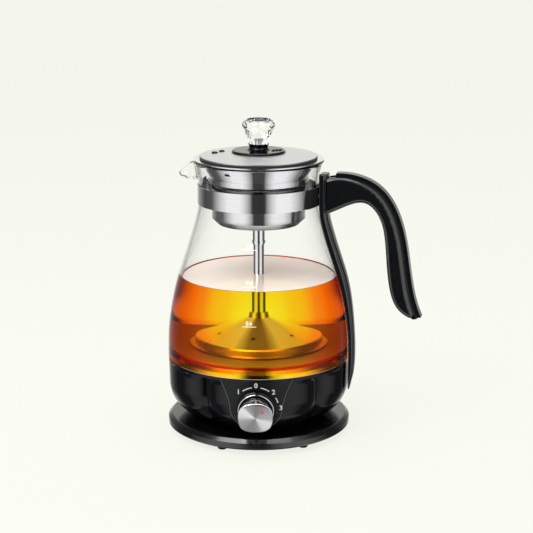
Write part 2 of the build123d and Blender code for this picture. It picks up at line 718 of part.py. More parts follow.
with BuildPart() as thermostat:
    thermostat_low = spreader_low - THERMOSTAT_H
    ring(0, THERMOSTAT_R, thermostat_low, spreader_low - PRESSED)
    with BuildSketch(Plane.XY.offset(thermostat_low)):
        with GridLocations(THERMOSTAT_R, 1, 2, 1):
            Rectangle(TAB_W, TAB_L * 0.8)
    extrude(amount=-TAB_L)
save(thermostat, "thermostat")

# ================================================================ glass jug
glass_top = glass_foot_z + GLASS_H
neck_low = glass_top - NECK_DROP
neck_high = neck_low + NECK_L
taper = glass_foot_r - NECK_GLASS_R
body_h = neck_low - glass_foot_z
glass_shape = [(glass_foot_r - a * taper, glass_foot_z + b * body_h) for a, b in GLASS_TAPER]
glass_outer = [(glass_foot_r, glass_foot_z)] + glass_shape + [(NECK_GLASS_R, neck_low)]
spout_azimuth = HANDLE_AZIMUTH + 180
neck_inner_r = NECK_GLASS_R - GLASS_WALL
rim_outer_r = NECK_GLASS_R + RIM_FLARE
rim_inner_r = rim_outer_r - GLASS_WALL


def revolve_glass(inset, foot_past, top_past, mode=Mode.ADD):
    """The jug's surface, pulled in by inset, as a solid closed to the axis."""
    points = [(r - inset, z) for r, z in glass_outer]
    points[0] = (points[0][0], glass_foot_z - foot_past)
    neck_r = NECK_GLASS_R - inset
    rim_r = rim_outer_r - inset
    rim_lean = (0.55, 1)
    with BuildSketch(Plane.XZ) as half:
        with BuildLine():
            Spline(*points, tangents=[(0, 1), (0, 1)])
            Line((neck_r, neck_low), (neck_r, neck_high))
            Spline((neck_r, neck_high), (rim_r, glass_top), tangents=[(0, 1), rim_lean])
            Polyline((rim_r, glass_top), (0, glass_top + top_past), (0, points[0][1]), points[0])
        make_face()
    revolve(half.sketch, axis=Axis.Z, mode=mode)


def spout_section(out, half_width, under_drop, lip_drop, wall=0.0):
    """A half-round trough across the spout, its skin pulled in by wall."""
    high = glass_top - lip_drop + wall / 50
    low = glass_top - under_drop + wall
    half = half_width - wall
    with BuildSketch(outward_plane(spout_azimuth, NECK_GLASS_R + out)) as trough:
        with BuildLine():
            Line((half, high), (-half, high))
            EllipticalCenterArc((0, high), half, high - low, start_angle=180, arc_size=180)
        make_face()
    return trough.sketch


with BuildPart() as glass_jug:
    revolve_glass(0.0, 0.0, 0.0)
    loft([spout_section(*section) for section in SPOUT_SECTIONS])
    revolve_glass(GLASS_WALL, OVERCUT, 2 * OVERCUT, Mode.SUBTRACT)
    tip_out, tip_half, tip_under, tip_lip = SPOUT_SECTIONS[-1]
    trough = SPOUT_SECTIONS[:-1] + [(tip_out + SPOUT_PAST_TIP, tip_half, tip_under, tip_lip)]
    loft([spout_section(*section, wall=SPOUT_WALL) for section in trough], mode=Mode.SUBTRACT)
save(glass_jug, "glass_jug")

# ================================================================ neck band and handle
band_inner = NECK_GLASS_R + BAND_FIT
band_low = neck_low + BAND_EDGE
band_high = neck_high - 2 * BAND_EDGE
clamp_outer = band_inner + CLAMP_T
clamp_screw_l = CLAMP_T - BAND_T + SEAT + CLAMP_SCREW_BITE
clamp_screw_spots = [(side * SPINE_HALF / 2, (band_low + band_high) / 2) for side in (-1, 1)]


def wedge(half_angle, mode):
    """A pie-shaped prism about the handle's azimuth, for cutting rings round the neck."""
    reach = HOUSING_R * 2
    edges = [at_azimuth(reach, HANDLE_AZIMUTH + side * half_angle) for side in (-1, 1)]
    with BuildSketch(Plane.XY.offset(band_low - OVERCUT)) as pie:
        with BuildLine():
            Polyline((0, 0), edges[0][:2], edges[1][:2], close=True)
        make_face()
    extrude(pie.sketch, amount=band_high - band_low + 2 * OVERCUT, mode=mode)


def clamp_pins(radius, start, length, mode):
    """The pair of bars along the clamp block's screws."""
    with BuildSketch(outward_plane(HANDLE_AZIMUTH, start)) as section:
        with Locations(*clamp_screw_spots):
            Circle(radius)
    extrude(section.sketch, amount=length, mode=mode)


with BuildPart() as neck_band:
    ring(band_inner, band_inner + BAND_T, band_low, band_high)
    wedge(CLAMP_HALF_ANGLE, Mode.SUBTRACT)
save(neck_band, "neck_band")

with BuildPart() as clamp_block:
    ring(band_inner, clamp_outer, band_low, band_high)
    wedge(CLAMP_HALF_ANGLE - CLAMP_SPLIT, Mode.INTERSECT)
    clamp_pins(CLAMP_SCREW_R, band_inner - OVERCUT, CLAMP_T + 2 * OVERCUT, Mode.SUBTRACT)
save(clamp_block, "clamp_block")

with BuildPart() as clamp_screws:
    clamp_pins(CLAMP_SCREW_R - PRESSED, band_inner + BAND_T, clamp_screw_l, Mode.ADD)
save(clamp_screws, "clamp_screws")

jug_line = [(HOUSING_R, foot_z)] + glass_outer


def jug_radius(z):
    """Outer radius of the jug at a height, along straight lines between the glass's points."""
    for (r0, z0), (r1, z1) in zip(jug_line, jug_line[1:]):
        if z <= z1:
            return r0 + (r1 - r0) * (z - z0) / (z1 - z0)
    return NECK_GLASS_R


# The spine's faces, as radius and height in the handle's plane, from the top down.
spine_top = band_high + SPINE_RISE
spine_low = foot_z + SPINE_END_H
spine_seat = clamp_outer + SEAT
spine_face_r = spine_seat + SPINE_NECK_T
shoulder_z = band_low - SPINE_SHOULDER
spine_back = [(spine_seat, shoulder_z)]
spine_back.append((glass_shape[4][0] + SPINE_TOP_GAP, glass_shape[4][1] - SPINE_SHOULDER))
spine_back += [(r + SPINE_GAP, z) for r, z in reversed(glass_shape[:4])]
spine_back += [(glass_foot_r + SPINE_GAP / 2, z) for z in (glass_foot_z, spine_low)]
spine_front = [(spine_face_r, band_low)]
spine_front += [(jug_radius(glass_foot_z + h) + t, glass_foot_z + h) for h, t in SPINE_STATIONS]
spine_front.append((jug_radius(spine_low) + SPINE_TIP_T, spine_low))
with BuildPart() as handle_spine:
    with BuildSketch(radial_plane(HANDLE_AZIMUTH, -SPINE_HALF)):
        with BuildLine():
            Line((spine_seat, spine_top), spine_back[0])
            Spline(*spine_back, tangents=[(0, -1), (0, -1)])
            Line(spine_back[-1], spine_front[-1])
            Spline(*reversed(spine_front), tangents=[(0.35, 1), (0, 1)])
            Polyline(spine_front[0], (spine_face_r, spine_top), (spine_seat, spine_top))
        make_face()
    extrude(amount=2 * SPINE_HALF)
    taper_z = band_low - SPINE_TAPER_DROP
    middle_half = SPINE_END_HALF + (SPINE_HALF - SPINE_END_HALF) * 0.4
    tip_z = spine_low + SPINE_END_HALF
    with BuildSketch(outward_plane(HANDLE_AZIMUTH, NECK_GLASS_R)):
        with BuildLine():
            side = Spline(
                (SPINE_HALF, taper_z),
                (middle_half, glass_shape[1][1]),
                (SPINE_END_HALF, tip_z),
                tangents=[(0, -1), (0, -1)],
            )
            mirror(side, about=Plane.YZ)
            ThreePointArc((SPINE_END_HALF, tip_z), (0, spine_low), (-SPINE_END_HALF, tip_z))
            Polyline(
                (-SPINE_HALF, taper_z),
                (-SPINE_HALF, spine_top),
                (SPINE_HALF, spine_top),
                (SPINE_HALF, taper_z),
            )
        make_face()
    extrude(amount=HOUSING_R, mode=Mode.INTERSECT)
    clamp_pins(CLAMP_SCREW_R, band_inner, clamp_screw_l + BAND_T + SEAT, Mode.SUBTRACT)
save(handle_spine, "handle_spine")

grip_back = [(spine_face_r + out, spine_top - down) for out, down in GRIP_BACK]
grip_front = [(spine_face_r + out, spine_top - down) for out, down in GRIP_FRONT]
core_back = offset_points(grip_back, -RIB_PROUD)
rib_root = offset_points(grip_back, -RIB_PROUD - RIB_DEPTH)
rib_channel = offset_points(grip_back, -RIB_PROUD - RIB_DEPTH - SEAT)
past_back = offset_points(grip_back, OVERCUT)


def side_outline(points, half, mode):
    """A slab across the handle's plane with an outline of straight lines."""
    with BuildSketch(radial_plane(HANDLE_AZIMUTH, -half)) as side:
        with BuildLine():
            Polyline(*points, close=True)
        make_face()
    extrude(side.sketch, amount=2 * half, mode=mode)


def grip_slab(back, front, half, mode=Mode.ADD):
    """A slab of the handle between two curves in its plane."""
    with BuildSketch(radial_plane(HANDLE_AZIMUTH, -half)) as side:
        with BuildLine():
            Spline(*back)
            Line(back[-1], front[-1])
            Spline(*reversed(front))
            Line(front[0], back[0])
        make_face()
    extrude(side.sketch, amount=2 * half, mode=mode)


core_start = spine_face_r + SEAT
with BuildPart() as handle_grip:
    grip_slab(core_back, grip_front, GRIP_HALF)
    grip_slab(past_back, rib_channel, RIB_HALF + SEAT, Mode.SUBTRACT)
    for curve, round_r in ((core_back, GRIP_ROUND), (grip_front, GRIP_FRONT_ROUND)):
        for side in (-1, 1):
            middle = radial_plane(HANDLE_AZIMUTH, side * GRIP_HALF).from_local_coords(curve[3])
            edge = handle_grip.edges().filter_by(GeomType.BSPLINE).sort_by_distance(middle)[0]
            fillet(edge, round_r)
    behind = [(0, 0), (core_start, 0), (core_start, 2 * spine_top), (0, 2 * spine_top)]
    side_outline(behind, GRIP_HALF * 2, Mode.SUBTRACT)
save(handle_grip, "handle_grip")

with BuildPart() as grip_rib:
    grip_slab(grip_back, rib_root, RIB_HALF)
    rib_start_r = spine_face_r + RIB_START
    before = [
        (0, spine_top - RIB_SLANT_RUN),
        (rib_start_r - RIB_SLANT, spine_top - RIB_SLANT_RUN),
        (rib_start_r, spine_top - RIB_PROUD - RIB_DEPTH),
        (rib_start_r + RIB_SLANT, spine_top + RIB_SLANT_RUN),
        (0, spine_top + RIB_SLANT_RUN),
    ]
    side_outline(before, GRIP_HALF, Mode.SUBTRACT)
save(grip_rib, "grip_rib")

# ================================================================ spray insert
lip_low = glass_top + LIFT_GAP
lip_high = lip_low + SHEET_T
lip_r = rim_outer_r - COLLAR_LIP_IN
cone_top_r = rim_inner_r - COLLAR_THROAT_IN
cone_foot_r = neck_inner_r - COLLAR_FOOT_IN
cone_foot_z = glass_top - COLLAR_DROP
collar_ring_r = cone_foot_r + COLLAR_RING_OUT
collar_low = cone_foot_z - COLLAR_RING_H
with BuildPart() as basket_collar:
    turned(
        [
            (lip_r, lip_low),
            (lip_r, lip_high),
            (cone_top_r - SHEET_T, lip_high),
            (cone_foot_r - SHEET_T, cone_foot_z),
            (cone_foot_r - SHEET_T, collar_low),
            (collar_ring_r, collar_low),
            (collar_ring_r, cone_foot_z),
            (cone_foot_r, cone_foot_z),
            (cone_top_r, lip_low),
        ]
    )
    hole_z = cone_foot_z + COLLAR_HOLE_H
    with BuildSketch(outward_plane(COLLAR_HOLE_AT, cone_foot_r - COLLAR_RING_H)):
        with Locations((0, hole_z)):
            Circle(COLLAR_HOLE_R)
        with Locations((0, hole_z - COLLAR_HOLE_R)):
            Rectangle(COLLAR_HOLE_R * 3, COLLAR_HOLE_R * 2, mode=Mode.SUBTRACT)
    extrude(amount=rim_outer_r - cone_foot_r + COLLAR_RING_H, mode=Mode.SUBTRACT)
save(basket_collar, "basket_collar")

cup_r = cone_foot_r - CUP_IN
cup_top = collar_low - PRESSED
cup_bottom = cup_top - CUP_H
groove_z = cup_top - GROOVE_DROP
with BuildPart() as basket_cup:
    turned(
        [
            (STUB_R + PRESSED, cup_bottom),
            (cup_r - CUP_ROUND, cup_bottom),
            (cup_r, cup_bottom + CUP_ROUND),
            (cup_r, groove_z - GROOVE_HALF),
            (cup_r - GROOVE_DEPTH, groove_z),
            (cup_r, groove_z + GROOVE_HALF),
            (cup_r, cup_top),
            (cup_r - 2 * SHEET_T, cup_top),
            (cup_r - GROOVE_DEPTH - SHEET_T, groove_z),
            (cup_r - SHEET_T, groove_z - GROOVE_HALF - SHEET_T),
            (cup_r - SHEET_T, cup_bottom + CUP_ROUND),
            (cup_r - CUP_ROUND, cup_bottom + SHEET_T),
            (STUB_R + PRESSED, cup_bottom + SHEET_T),
        ]
    )
    with BuildSketch(Plane.XY.offset(cup_bottom - OVERCUT)):
        for ring_r, holes in CUP_HOLE_RINGS:
            with PolarLocations(ring_r, holes):
                Circle(CUP_HOLE_R)
    extrude(amount=SHEET_T + 2 * OVERCUT, mode=Mode.SUBTRACT)
save(basket_cup, "basket_cup")

riser_top = cone_foot_z + RISER_PROUD
tube_fit_r = RISER_R + RUN_FIT
with BuildPart() as basket_stub:
    stub_end = cup_bottom - STUB_DROP
    bead_z = stub_end + STUB_BEAD_H
    ring(tube_fit_r, STUB_R, stub_end, riser_top - STUB_BELOW_TOP)
    ring(tube_fit_r, STUB_R + STUB_BEAD_OUT, bead_z, bead_z + STUB_BEAD_H)
    ring(tube_fit_r, STUB_R + STUB_FLANGE_OUT, cup_bottom - PRESSED - SHEET_T, cup_bottom - PRESSED)
save(basket_stub, "basket_stub")

hub_z = heat_top + DIFFUSER_HUB_H
hub_low = hub_z - DIFFUSER_SOCKET
with BuildPart() as riser_tube:
    ring(RISER_R - RISER_WALL, RISER_R, hub_low, riser_top)
save(riser_tube, "riser_tube")

with BuildPart() as spray_cap:
    cap_low = riser_top - SPRAY_DROP
    cap_high = riser_top + SPRAY_HEAD
    sleeve_r = RISER_R + SHEET_T * 1.5
    ring(RISER_R + PRESSED, SPRAY_R, cap_low, cap_low + SHEET_T)
    ring(RISER_R + PRESSED, sleeve_r, cap_low - SPRAY_DROP, cap_low + SHEET_T)
    ring(SPRAY_R - SHEET_T, SPRAY_R, cap_low, cap_high)
    ring(0, SPRAY_R, cap_high - SHEET_T, cap_high)
    with BuildSketch(Plane.XY.offset(cap_low - OVERCUT)):
        with PolarLocations((sleeve_r + SPRAY_R - SHEET_T) / 2, SPRAY_HOLES):
            Circle(SPRAY_HOLE_R)
    extrude(amount=SHEET_T + 2 * OVERCUT, mode=Mode.SUBTRACT)
save(spray_cap, "spray_cap")

with BuildPart() as diffuser_cone:
    cone_seat = heat_top + LIFT_GAP
    rim_z = heat_top + DIFFUSER_RIM_H
    inner_r = DIFFUSER_R - SHEET_T
    flange_r = DIFFUSER_R + DIFFUSER_FLANGE_W
    turned(
        [
            (RISER_R + PRESSED, hub_low),
            (RISER_R + PRESSED, hub_z + DIFFUSER_HUB_L),
            (DIFFUSER_HUB_R - SHEET_T, hub_z + DIFFUSER_HUB_L),
            (DIFFUSER_HUB_R, hub_z),
            (DIFFUSER_R - SHEET_T, rim_z + SHEET_T / 2),
            (DIFFUSER_R, rim_z - SHEET_T),
            (DIFFUSER_R, cone_seat + 2 * SHEET_T),
            (flange_r, cone_seat + SHEET_T),
            (flange_r, cone_seat),
            (inner_r, cone_seat),
            (inner_r, rim_z - 1.5 * SHEET_T),
            (DIFFUSER_HUB_R, hub_z - 2.5 * SHEET_T),
        ]
    )
    with BuildSketch(Plane.XY.offset(cone_seat + OVERCUT)):
        with PolarLocations(DIFFUSER_HOLE_RING_R, DIFFUSER_HOLES, start_angle=DIFFUSER_HOLE_TURN):
            Circle(DIFFUSER_HOLE_R)
    extrude(amount=DIFFUSER_HUB_H, mode=Mode.SUBTRACT)
save(diffuser_cone, "diffuser_cone")

# ================================================================ lid
rim_low = lip_high + LIFT_GAP
rim_high = rim_low + LID_RIM_T
lid_rim_r = cone_top_r - SHEET_T + LID_REST
lid_r = lid_rim_r - LID_IN
skirt_low = rim_low - LID_SKIRT_H
cone_slope = (cone_top_r - cone_foot_r) / (lip_high - cone_foot_z)
skirt_r = cone_foot_r - SHEET_T + cone_slope * (skirt_low - cone_foot_z) - LID_SKIRT_GAP
with BuildPart() as lid_rim:
    ring(skirt_r - LID_SKIRT_T, lid_rim_r, rim_low, rim_high)
    ring(skirt_r - LID_SKIRT_T, skirt_r, skirt_low, rim_high)
save(lid_rim, "lid_rim")

dome_r = (lid_r**2 + LID_RISE**2) / (2 * LID_RISE)
dome_top = rim_high + SEAT + SHEET_T + LID_RISE


def dome_z(radius):
    """Height of the lid's top face at a radius."""
    return dome_top - dome_r + sqrt(dome_r**2 - radius**2)


def dome_arc(inner_r, outer_r, rise):
    """An arc parallel to the lid's top face, from the inner to the outer radius."""
    middle_r = (inner_r + outer_r) / 2
    return ThreePointArc(
        (inner_r, dome_z(inner_r) + rise),
        (middle_r, dome_z(middle_r) + rise),
        (outer_r, dome_z(outer_r) + rise),
    )


with BuildPart() as lid_disc:
    with BuildSketch(Plane.XZ):
        with BuildLine():
            upper = dome_arc(LID_BORE_R, lid_r, 0.0)
            lower = dome_arc(LID_BORE_R, lid_r, -SHEET_T)
            Line(upper @ 0, lower @ 0)
            Line(upper @ 1, lower @ 1)
        make_face()
    revolve(axis=Axis.Z)
    for x, y, radius in VENTS:
        with BuildSketch(Plane.XY.offset(rim_low)):
            with Locations((x, y)):
                Circle(radius)
        extrude(amount=dome_top - rim_low, mode=Mode.SUBTRACT)
save(lid_disc, "lid_disc")

waist_top = dome_top + ESCUTCHEON_T + WAIST_H
with BuildPart() as knob_base:
    with BuildSketch(Plane.XZ):
        with BuildLine():
            under = dome_arc(LID_BORE_R, ESCUTCHEON_R, SEAT)
            edge_z = dome_z(ESCUTCHEON_R) + SEAT + ESCUTCHEON_T
            flare_r = WAIST_R + WAIST_FLARE
            flare_z = dome_z(flare_r) + SEAT + ESCUTCHEON_T * 0.7
            Polyline(under @ 0, (LID_BORE_R, waist_top), (WAIST_TOP_R, waist_top))
            Spline(
                (WAIST_TOP_R, waist_top),
                (WAIST_R, dome_top + 2 * ESCUTCHEON_T),
                (flare_r, flare_z),
                tangents=[(-0.4, -1), (1, -0.4)],
            )
            Polyline(
                (flare_r, flare_z),
                (ESCUTCHEON_R - ESCUTCHEON_EDGE, edge_z),
                (ESCUTCHEON_R, edge_z - ESCUTCHEON_EDGE * 0.75),
                under @ 1,
            )
        make_face()
    revolve(axis=Axis.Z)
save(knob_base, "knob_base")

crystal_low = waist_top + PRESSED
# share of the height, radius: foot, girdle's lower and upper edge, flat top
crystal_stations = [
    (0.0, CRYSTAL_FOOT_R),
    (CRYSTAL_GIRDLE[0], CRYSTAL_R),
    (CRYSTAL_GIRDLE[1], CRYSTAL_R),
    (1.0, CRYSTAL_TOP_R),
]


def crystal_slice(share, radius):
    """The crystal's outline at a share of its height."""
    with BuildSketch(Plane.XY.offset(crystal_low + share * CRYSTAL_H)) as facets:
        RegularPolygon(radius, CRYSTAL_FACETS)
    return facets.sketch


with BuildPart() as crystal_knob:
    for lower, upper in zip(crystal_stations, crystal_stations[1:]):
        loft([crystal_slice(*lower), crystal_slice(*upper)], ruled=True)
    ring(0, LID_SCREW_R + PRESSED, crystal_low, crystal_low + LID_SCREW_BITE + SEAT, Mode.SUBTRACT)
save(crystal_knob, "crystal_knob")

with BuildPart() as lid_screw:
    nut_high = dome_z(LID_NUT_R) - SHEET_T - PRESSED
    ring(0, LID_NUT_R, nut_high - LID_NUT_T, nut_high)
    fillet(lid_screw.edges().group_by(Axis.Z)[0], LID_NUT_T / 2)
    ring(0, LID_SCREW_R, nut_high - LID_NUT_T / 2, crystal_low + LID_SCREW_BITE)
save(lid_screw, "lid_screw")
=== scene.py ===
"""Looks of the automatic tea maker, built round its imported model. Metres, +Z up, panel to -Y."""

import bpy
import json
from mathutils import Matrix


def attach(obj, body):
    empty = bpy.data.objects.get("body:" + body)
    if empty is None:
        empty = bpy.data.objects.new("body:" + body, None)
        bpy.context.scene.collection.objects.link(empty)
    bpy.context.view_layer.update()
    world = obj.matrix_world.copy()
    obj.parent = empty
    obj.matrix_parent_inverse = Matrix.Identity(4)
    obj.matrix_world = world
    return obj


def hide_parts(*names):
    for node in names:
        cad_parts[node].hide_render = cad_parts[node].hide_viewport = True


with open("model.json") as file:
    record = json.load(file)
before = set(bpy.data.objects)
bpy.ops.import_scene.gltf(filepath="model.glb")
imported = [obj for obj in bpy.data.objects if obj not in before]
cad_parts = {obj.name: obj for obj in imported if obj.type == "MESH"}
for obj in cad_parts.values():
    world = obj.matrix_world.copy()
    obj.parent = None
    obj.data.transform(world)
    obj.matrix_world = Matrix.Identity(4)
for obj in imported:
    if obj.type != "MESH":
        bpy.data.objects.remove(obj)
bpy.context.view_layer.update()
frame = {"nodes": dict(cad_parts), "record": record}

import json
from math import atan2, cos, exp, pi, radians, sin, sqrt

import bmesh
import bpy
from mathutils import Matrix, Vector

# measures and profiles are in millimetres unless another unit is named
MM = 0.001
TEA_TOP = 129.0
PLATE_TOP = 70.5
DIAL_Y = -73.5
DIAL_Z = 38.4
DIAL_TILT = radians(7.0)
DIAL_AXIS = (0.0, -cos(DIAL_TILT), -sin(DIAL_TILT))
DIAL_UP = (0.0, -sin(DIAL_TILT), cos(DIAL_TILT))

scene = bpy.context.scene
scene.view_settings.view_transform = "Standard"


def polar(radius, azimuth, height):
    """The point at an azimuth in radians from -Y towards +X."""
    return (radius * sin(azimuth), -radius * cos(azimuth), height)


# ================================================================ camera
CAMERA_TURN = radians(1.8)  # from -Y towards +X
CAMERA_DISTANCE = 1.1876  # metres from the jug's axis
CAMERA_HEIGHT = 0.4253  # metres
CAMERA_PITCH = 13.75  # degrees below level
PHOTO_SIDE = 533
FOCAL_PX = 1507.0
AXIS_LEFT_PX = 8.0  # the jug's axis stands this far left of the picture's middle
SENSOR_WIDTH = 36.0  # millimetres

camera_data = bpy.data.cameras.new("camera")
camera_data.sensor_width = SENSOR_WIDTH
camera_data.lens = SENSOR_WIDTH * FOCAL_PX / PHOTO_SIDE
camera = bpy.data.objects.new("camera", camera_data)
scene.collection.objects.link(camera)
camera.location = polar(CAMERA_DISTANCE, CAMERA_TURN, CAMERA_HEIGHT)
camera.rotation_euler = (radians(90 - CAMERA_PITCH), 0, CAMERA_TURN - atan2(AXIS_LEFT_PX, FOCAL_PX))
scene.camera = camera


# ================================================================ node helpers
class Nodes:
    """A node tree with short calls for adding and linking nodes."""

    def __init__(self, tree):
        self.tree = tree
        tree.nodes.clear()

    def add(self, kind, inputs=None, **settings):
        node = self.tree.nodes.new(kind)
        for name, value in settings.items():
            setattr(node, name, value)
        for name, value in (inputs or {}).items():
            self.set(node, name, value)
        return node

    def set(self, node, name, value):
        socket = node.inputs[name]
        if isinstance(value, bpy.types.NodeSocket):
            self.tree.links.new(value, socket)
        else:
            socket.default_value = value

    def math(self, operation, a, b=None):
        node = self.add("ShaderNodeMath", {0: a}, operation=operation)
        if b is not None:
            self.set(node, 1, b)
        return node.outputs[0]

    def vector(self, operation, a, b=None, scale=None):
        """The result of a vector operation: a number for DOT_PRODUCT and LENGTH."""
        node = self.add("ShaderNodeVectorMath", {0: a}, operation=operation)
        if b is not None:
            self.set(node, 1, b)
        if scale is not None:
            self.set(node, "Scale", scale)
        return node.outputs["Value" if operation in ("DOT_PRODUCT", "LENGTH") else "Vector"]

    def spread(self, value, low, high, start=0.3, end=0.7):
        """A value from start..end spread over low..high."""
        inputs = {"Value": value, "From Min": start, "From Max": end, "To Min": low, "To Max": high}
        return self.add("ShaderNodeMapRange", inputs).outputs[0]

    def share(self, value, start, end):
        """How far a value has come from start to end, 0 to 1."""
        return self.spread(value, 0.0, 1.0, start, end)

    def ramp(self, factor, stops):
        """A colour ramp of (position, colour) stops; a number stands for a grey."""
        node = self.add("ShaderNodeValToRGB", {"Fac": factor})
        ramp = node.color_ramp
        ramp.interpolation = "LINEAR"
        while len(ramp.elements) < len(stops):
            ramp.elements.new(0.5)
        for element, (position, colour) in zip(ramp.elements, stops):
            grey = isinstance(colour, (int, float))
            element.position = position
            element.color = (colour,) * 3 + (1,) if grey else (*colour, 1)
        return node.outputs["Color"]

    def ramp_aside(self, aside, stops):
        """A ramp whose stops stand at degrees from the front."""
        return self.ramp(aside, [(degrees / 180, colour) for degrees, colour in stops])

    def mix(self, factor, a, b):
        """A shader between a and b."""
        return self.add("ShaderNodeMixShader", {0: factor, 1: a, 2: b}).outputs[0]

    def blend(self, factor, a, b):
        """A colour between a and b."""
        node = self.add("ShaderNodeMix", {0: factor}, data_type="RGBA")
        for socket, value in ((6, a), (7, b)):
            linked = isinstance(value, bpy.types.NodeSocket)
            self.set(node, socket, value if linked else (*value, 1))
        return node.outputs[2]

    def place(self):
        """The object's own coordinates."""
        return self.add("ShaderNodeTexCoord").outputs["Object"]

    def axes(self, place):
        """A place's X, Y and Z apart."""
        return self.add("ShaderNodeSeparateXYZ", {0: place}).outputs

    def aside(self, axes, front=0.0):
        """How far round a place is from the front, on either side: 0 to 1 for 0 to 180 degrees."""
        azimuth = self.math("ARCTAN2", axes["X"], self.math("MULTIPLY", axes["Y"], -1.0))
        if front:
            azimuth = self.math("SUBTRACT", azimuth, front)
        return self.math("DIVIDE", self.math("ABSOLUTE", azimuth), pi)

    def noise(self, scale, stretch=(1, 1, 1), detail=3.0, roughness=0.5):
        """Noise over the object's own coordinates, stretched along some axes."""
        mapping = self.add("ShaderNodeMapping", {"Vector": self.place(), "Scale": stretch})
        inputs = {"Scale": scale, "Detail": detail, "Roughness": roughness}
        node = self.add("ShaderNodeTexNoise", {"Vector": mapping.outputs[0], **inputs})
        return node.outputs["Fac"]

    def mottled(self, grain, colour, dark=0.92):
        """A colour that is darker by a share in the hollows of a grain."""
        return self.ramp(grain, [(0.3, [c * dark for c in colour]), (0.7, colour)])

    def bump(self, height, strength, distance, normal=None):
        inputs = {"Height": height, "Strength": strength, "Distance": distance}
        if normal is not None:
            inputs["Normal"] = normal
        return self.add("ShaderNodeBump", inputs).outputs[0]

    def facing(self):
        """The surface's normal in world axes."""
        return self.add("ShaderNodeNewGeometry").outputs["Normal"]

    def leaned(self, towards):
        """The surface's normal, leaned by a vector in world axes."""
        return self.vector("NORMALIZE", self.vector("ADD", self.facing(), towards))

    def to_world(self, vector):
        """A direction given in the object's own axes, in the world's."""
        spaces = {"convert_from": "OBJECT", "convert_to": "WORLD"}
        node = self.add("ShaderNodeVectorTransform", {0: vector}, vector_type="VECTOR", **spaces)
        return node.outputs[0]

    def round_z(self):
        """The direction round the Z axis, which brushed faces follow."""
        return self.add("ShaderNodeTangent", direction_type="RADIAL", axis="Z").outputs[0]


surfaces = {}  # every material by its name


def material(name):
    """The empty node tree of a new material, which goes into surfaces."""
    made = bpy.data.materials.new(name)
    made.use_nodes = True
    surfaces[name] = made
    return Nodes(made.node_tree)


def principled(nodes, **inputs):
    """A Principled shader wired to the output; keyword names use _ for spaces."""
    values = {key.replace("_", " "): value for key, value in inputs.items()}
    shader = nodes.add("ShaderNodeBsdfPrincipled", values)
    nodes.add("ShaderNodeOutputMaterial", {"Surface": shader.outputs[0]})
    return shader


# ================================================================ materials
AROUND = (0.02, 0.02, 1.0)  # scratches run round the axis: fine along Z only
SCRATCH_DEPTH = 0.00001  # metres
BRUSH_TURN = 0.25  # of a full turn, from the tangent to the highlight's long side


def moulded_plastic(name, colour, roughness, grain=0.0, specular=0.5, lean=None):
    """Moulded plastic: slight sink and orange peel when polished, a fine grain when textured.

    lean tips what the faces mirror by a vector in the object's axes."""
    n = material(name)
    waves = n.math("MULTIPLY", n.noise(55, detail=2), 0.6)
    grains = n.math("MULTIPLY", n.noise(2600, detail=2), grain)
    depth = 0.00004 + 0.0001 * grain  # metres
    normal = n.leaned(n.to_world(lean)) if lean else None
    principled(
        n,
        Base_Color=(*colour, 1),
        Roughness=n.spread(n.noise(90), roughness * 0.8, roughness * 1.25),
        Specular_IOR_Level=specular,
        Normal=n.bump(n.math("ADD", waves, grains), 0.25, depth, normal),
    )


def metal(name, colour, roughness, brush=(1, 1, 1), anisotropic=0.0, dark=0.92):
    """Metal with a grain: brush stretches the scratches, as a scale along each axis."""
    n = material(name)
    grain = n.noise(1100, brush, detail=4, roughness=0.7)
    shader = principled(
        n,
        Base_Color=n.mottled(grain, colour, dark),
        Metallic=1.0,
        Roughness=n.spread(n.noise(14, detail=2), roughness * 0.9, roughness * 1.15),
        Anisotropic=anisotropic,
        Normal=n.bump(grain, 0.3, SCRATCH_DEPTH),
    )
    if anisotropic:
        n.set(shader, "Anisotropic Rotation", BRUSH_TURN)
        n.set(shader, "Tangent", n.round_z())


def clear(name, ior, sheen=1.0):
    """A clear, smooth stuff; sheen scales what it mirrors when seen square on."""
    n = material(name)
    return n, principled(
        n,
        Base_Color=(1.0, 1.0, 1.0, 1),
        Roughness=0.0,
        IOR=ior,
        Specular_Tint=(sheen, sheen, sheen, 1),
        Transmission_Weight=1.0,
    )


KNOB_FACE_LOW = 16.85  # height over the panel above which the knob's face begins
KNOB_SHADE_TOP = 5.4  # painted shade: the knob is darkened nearly black below this height and inside this radius, at its foot by the panel
KNOB_SHADE_R = 13.6
RING_RATE = 26000.0  # radians of the turned rings for each metre outwards
# painted highlight and shade: tone of the face's bright and dark wedges, by the share of a turn
# clockwise from the top
FACE_PAINTED_WEDGES = [
    (0.0, 0.38), (0.12, 0.42), (0.25, 0.45), (0.30, 0.8), (0.40, 0.85), (0.46, 0.5),
    (0.6, 0.36), (0.72, 0.42), (0.77, 0.72), (0.86, 0.95), (0.9, 0.5), (1.0, 0.38),
]


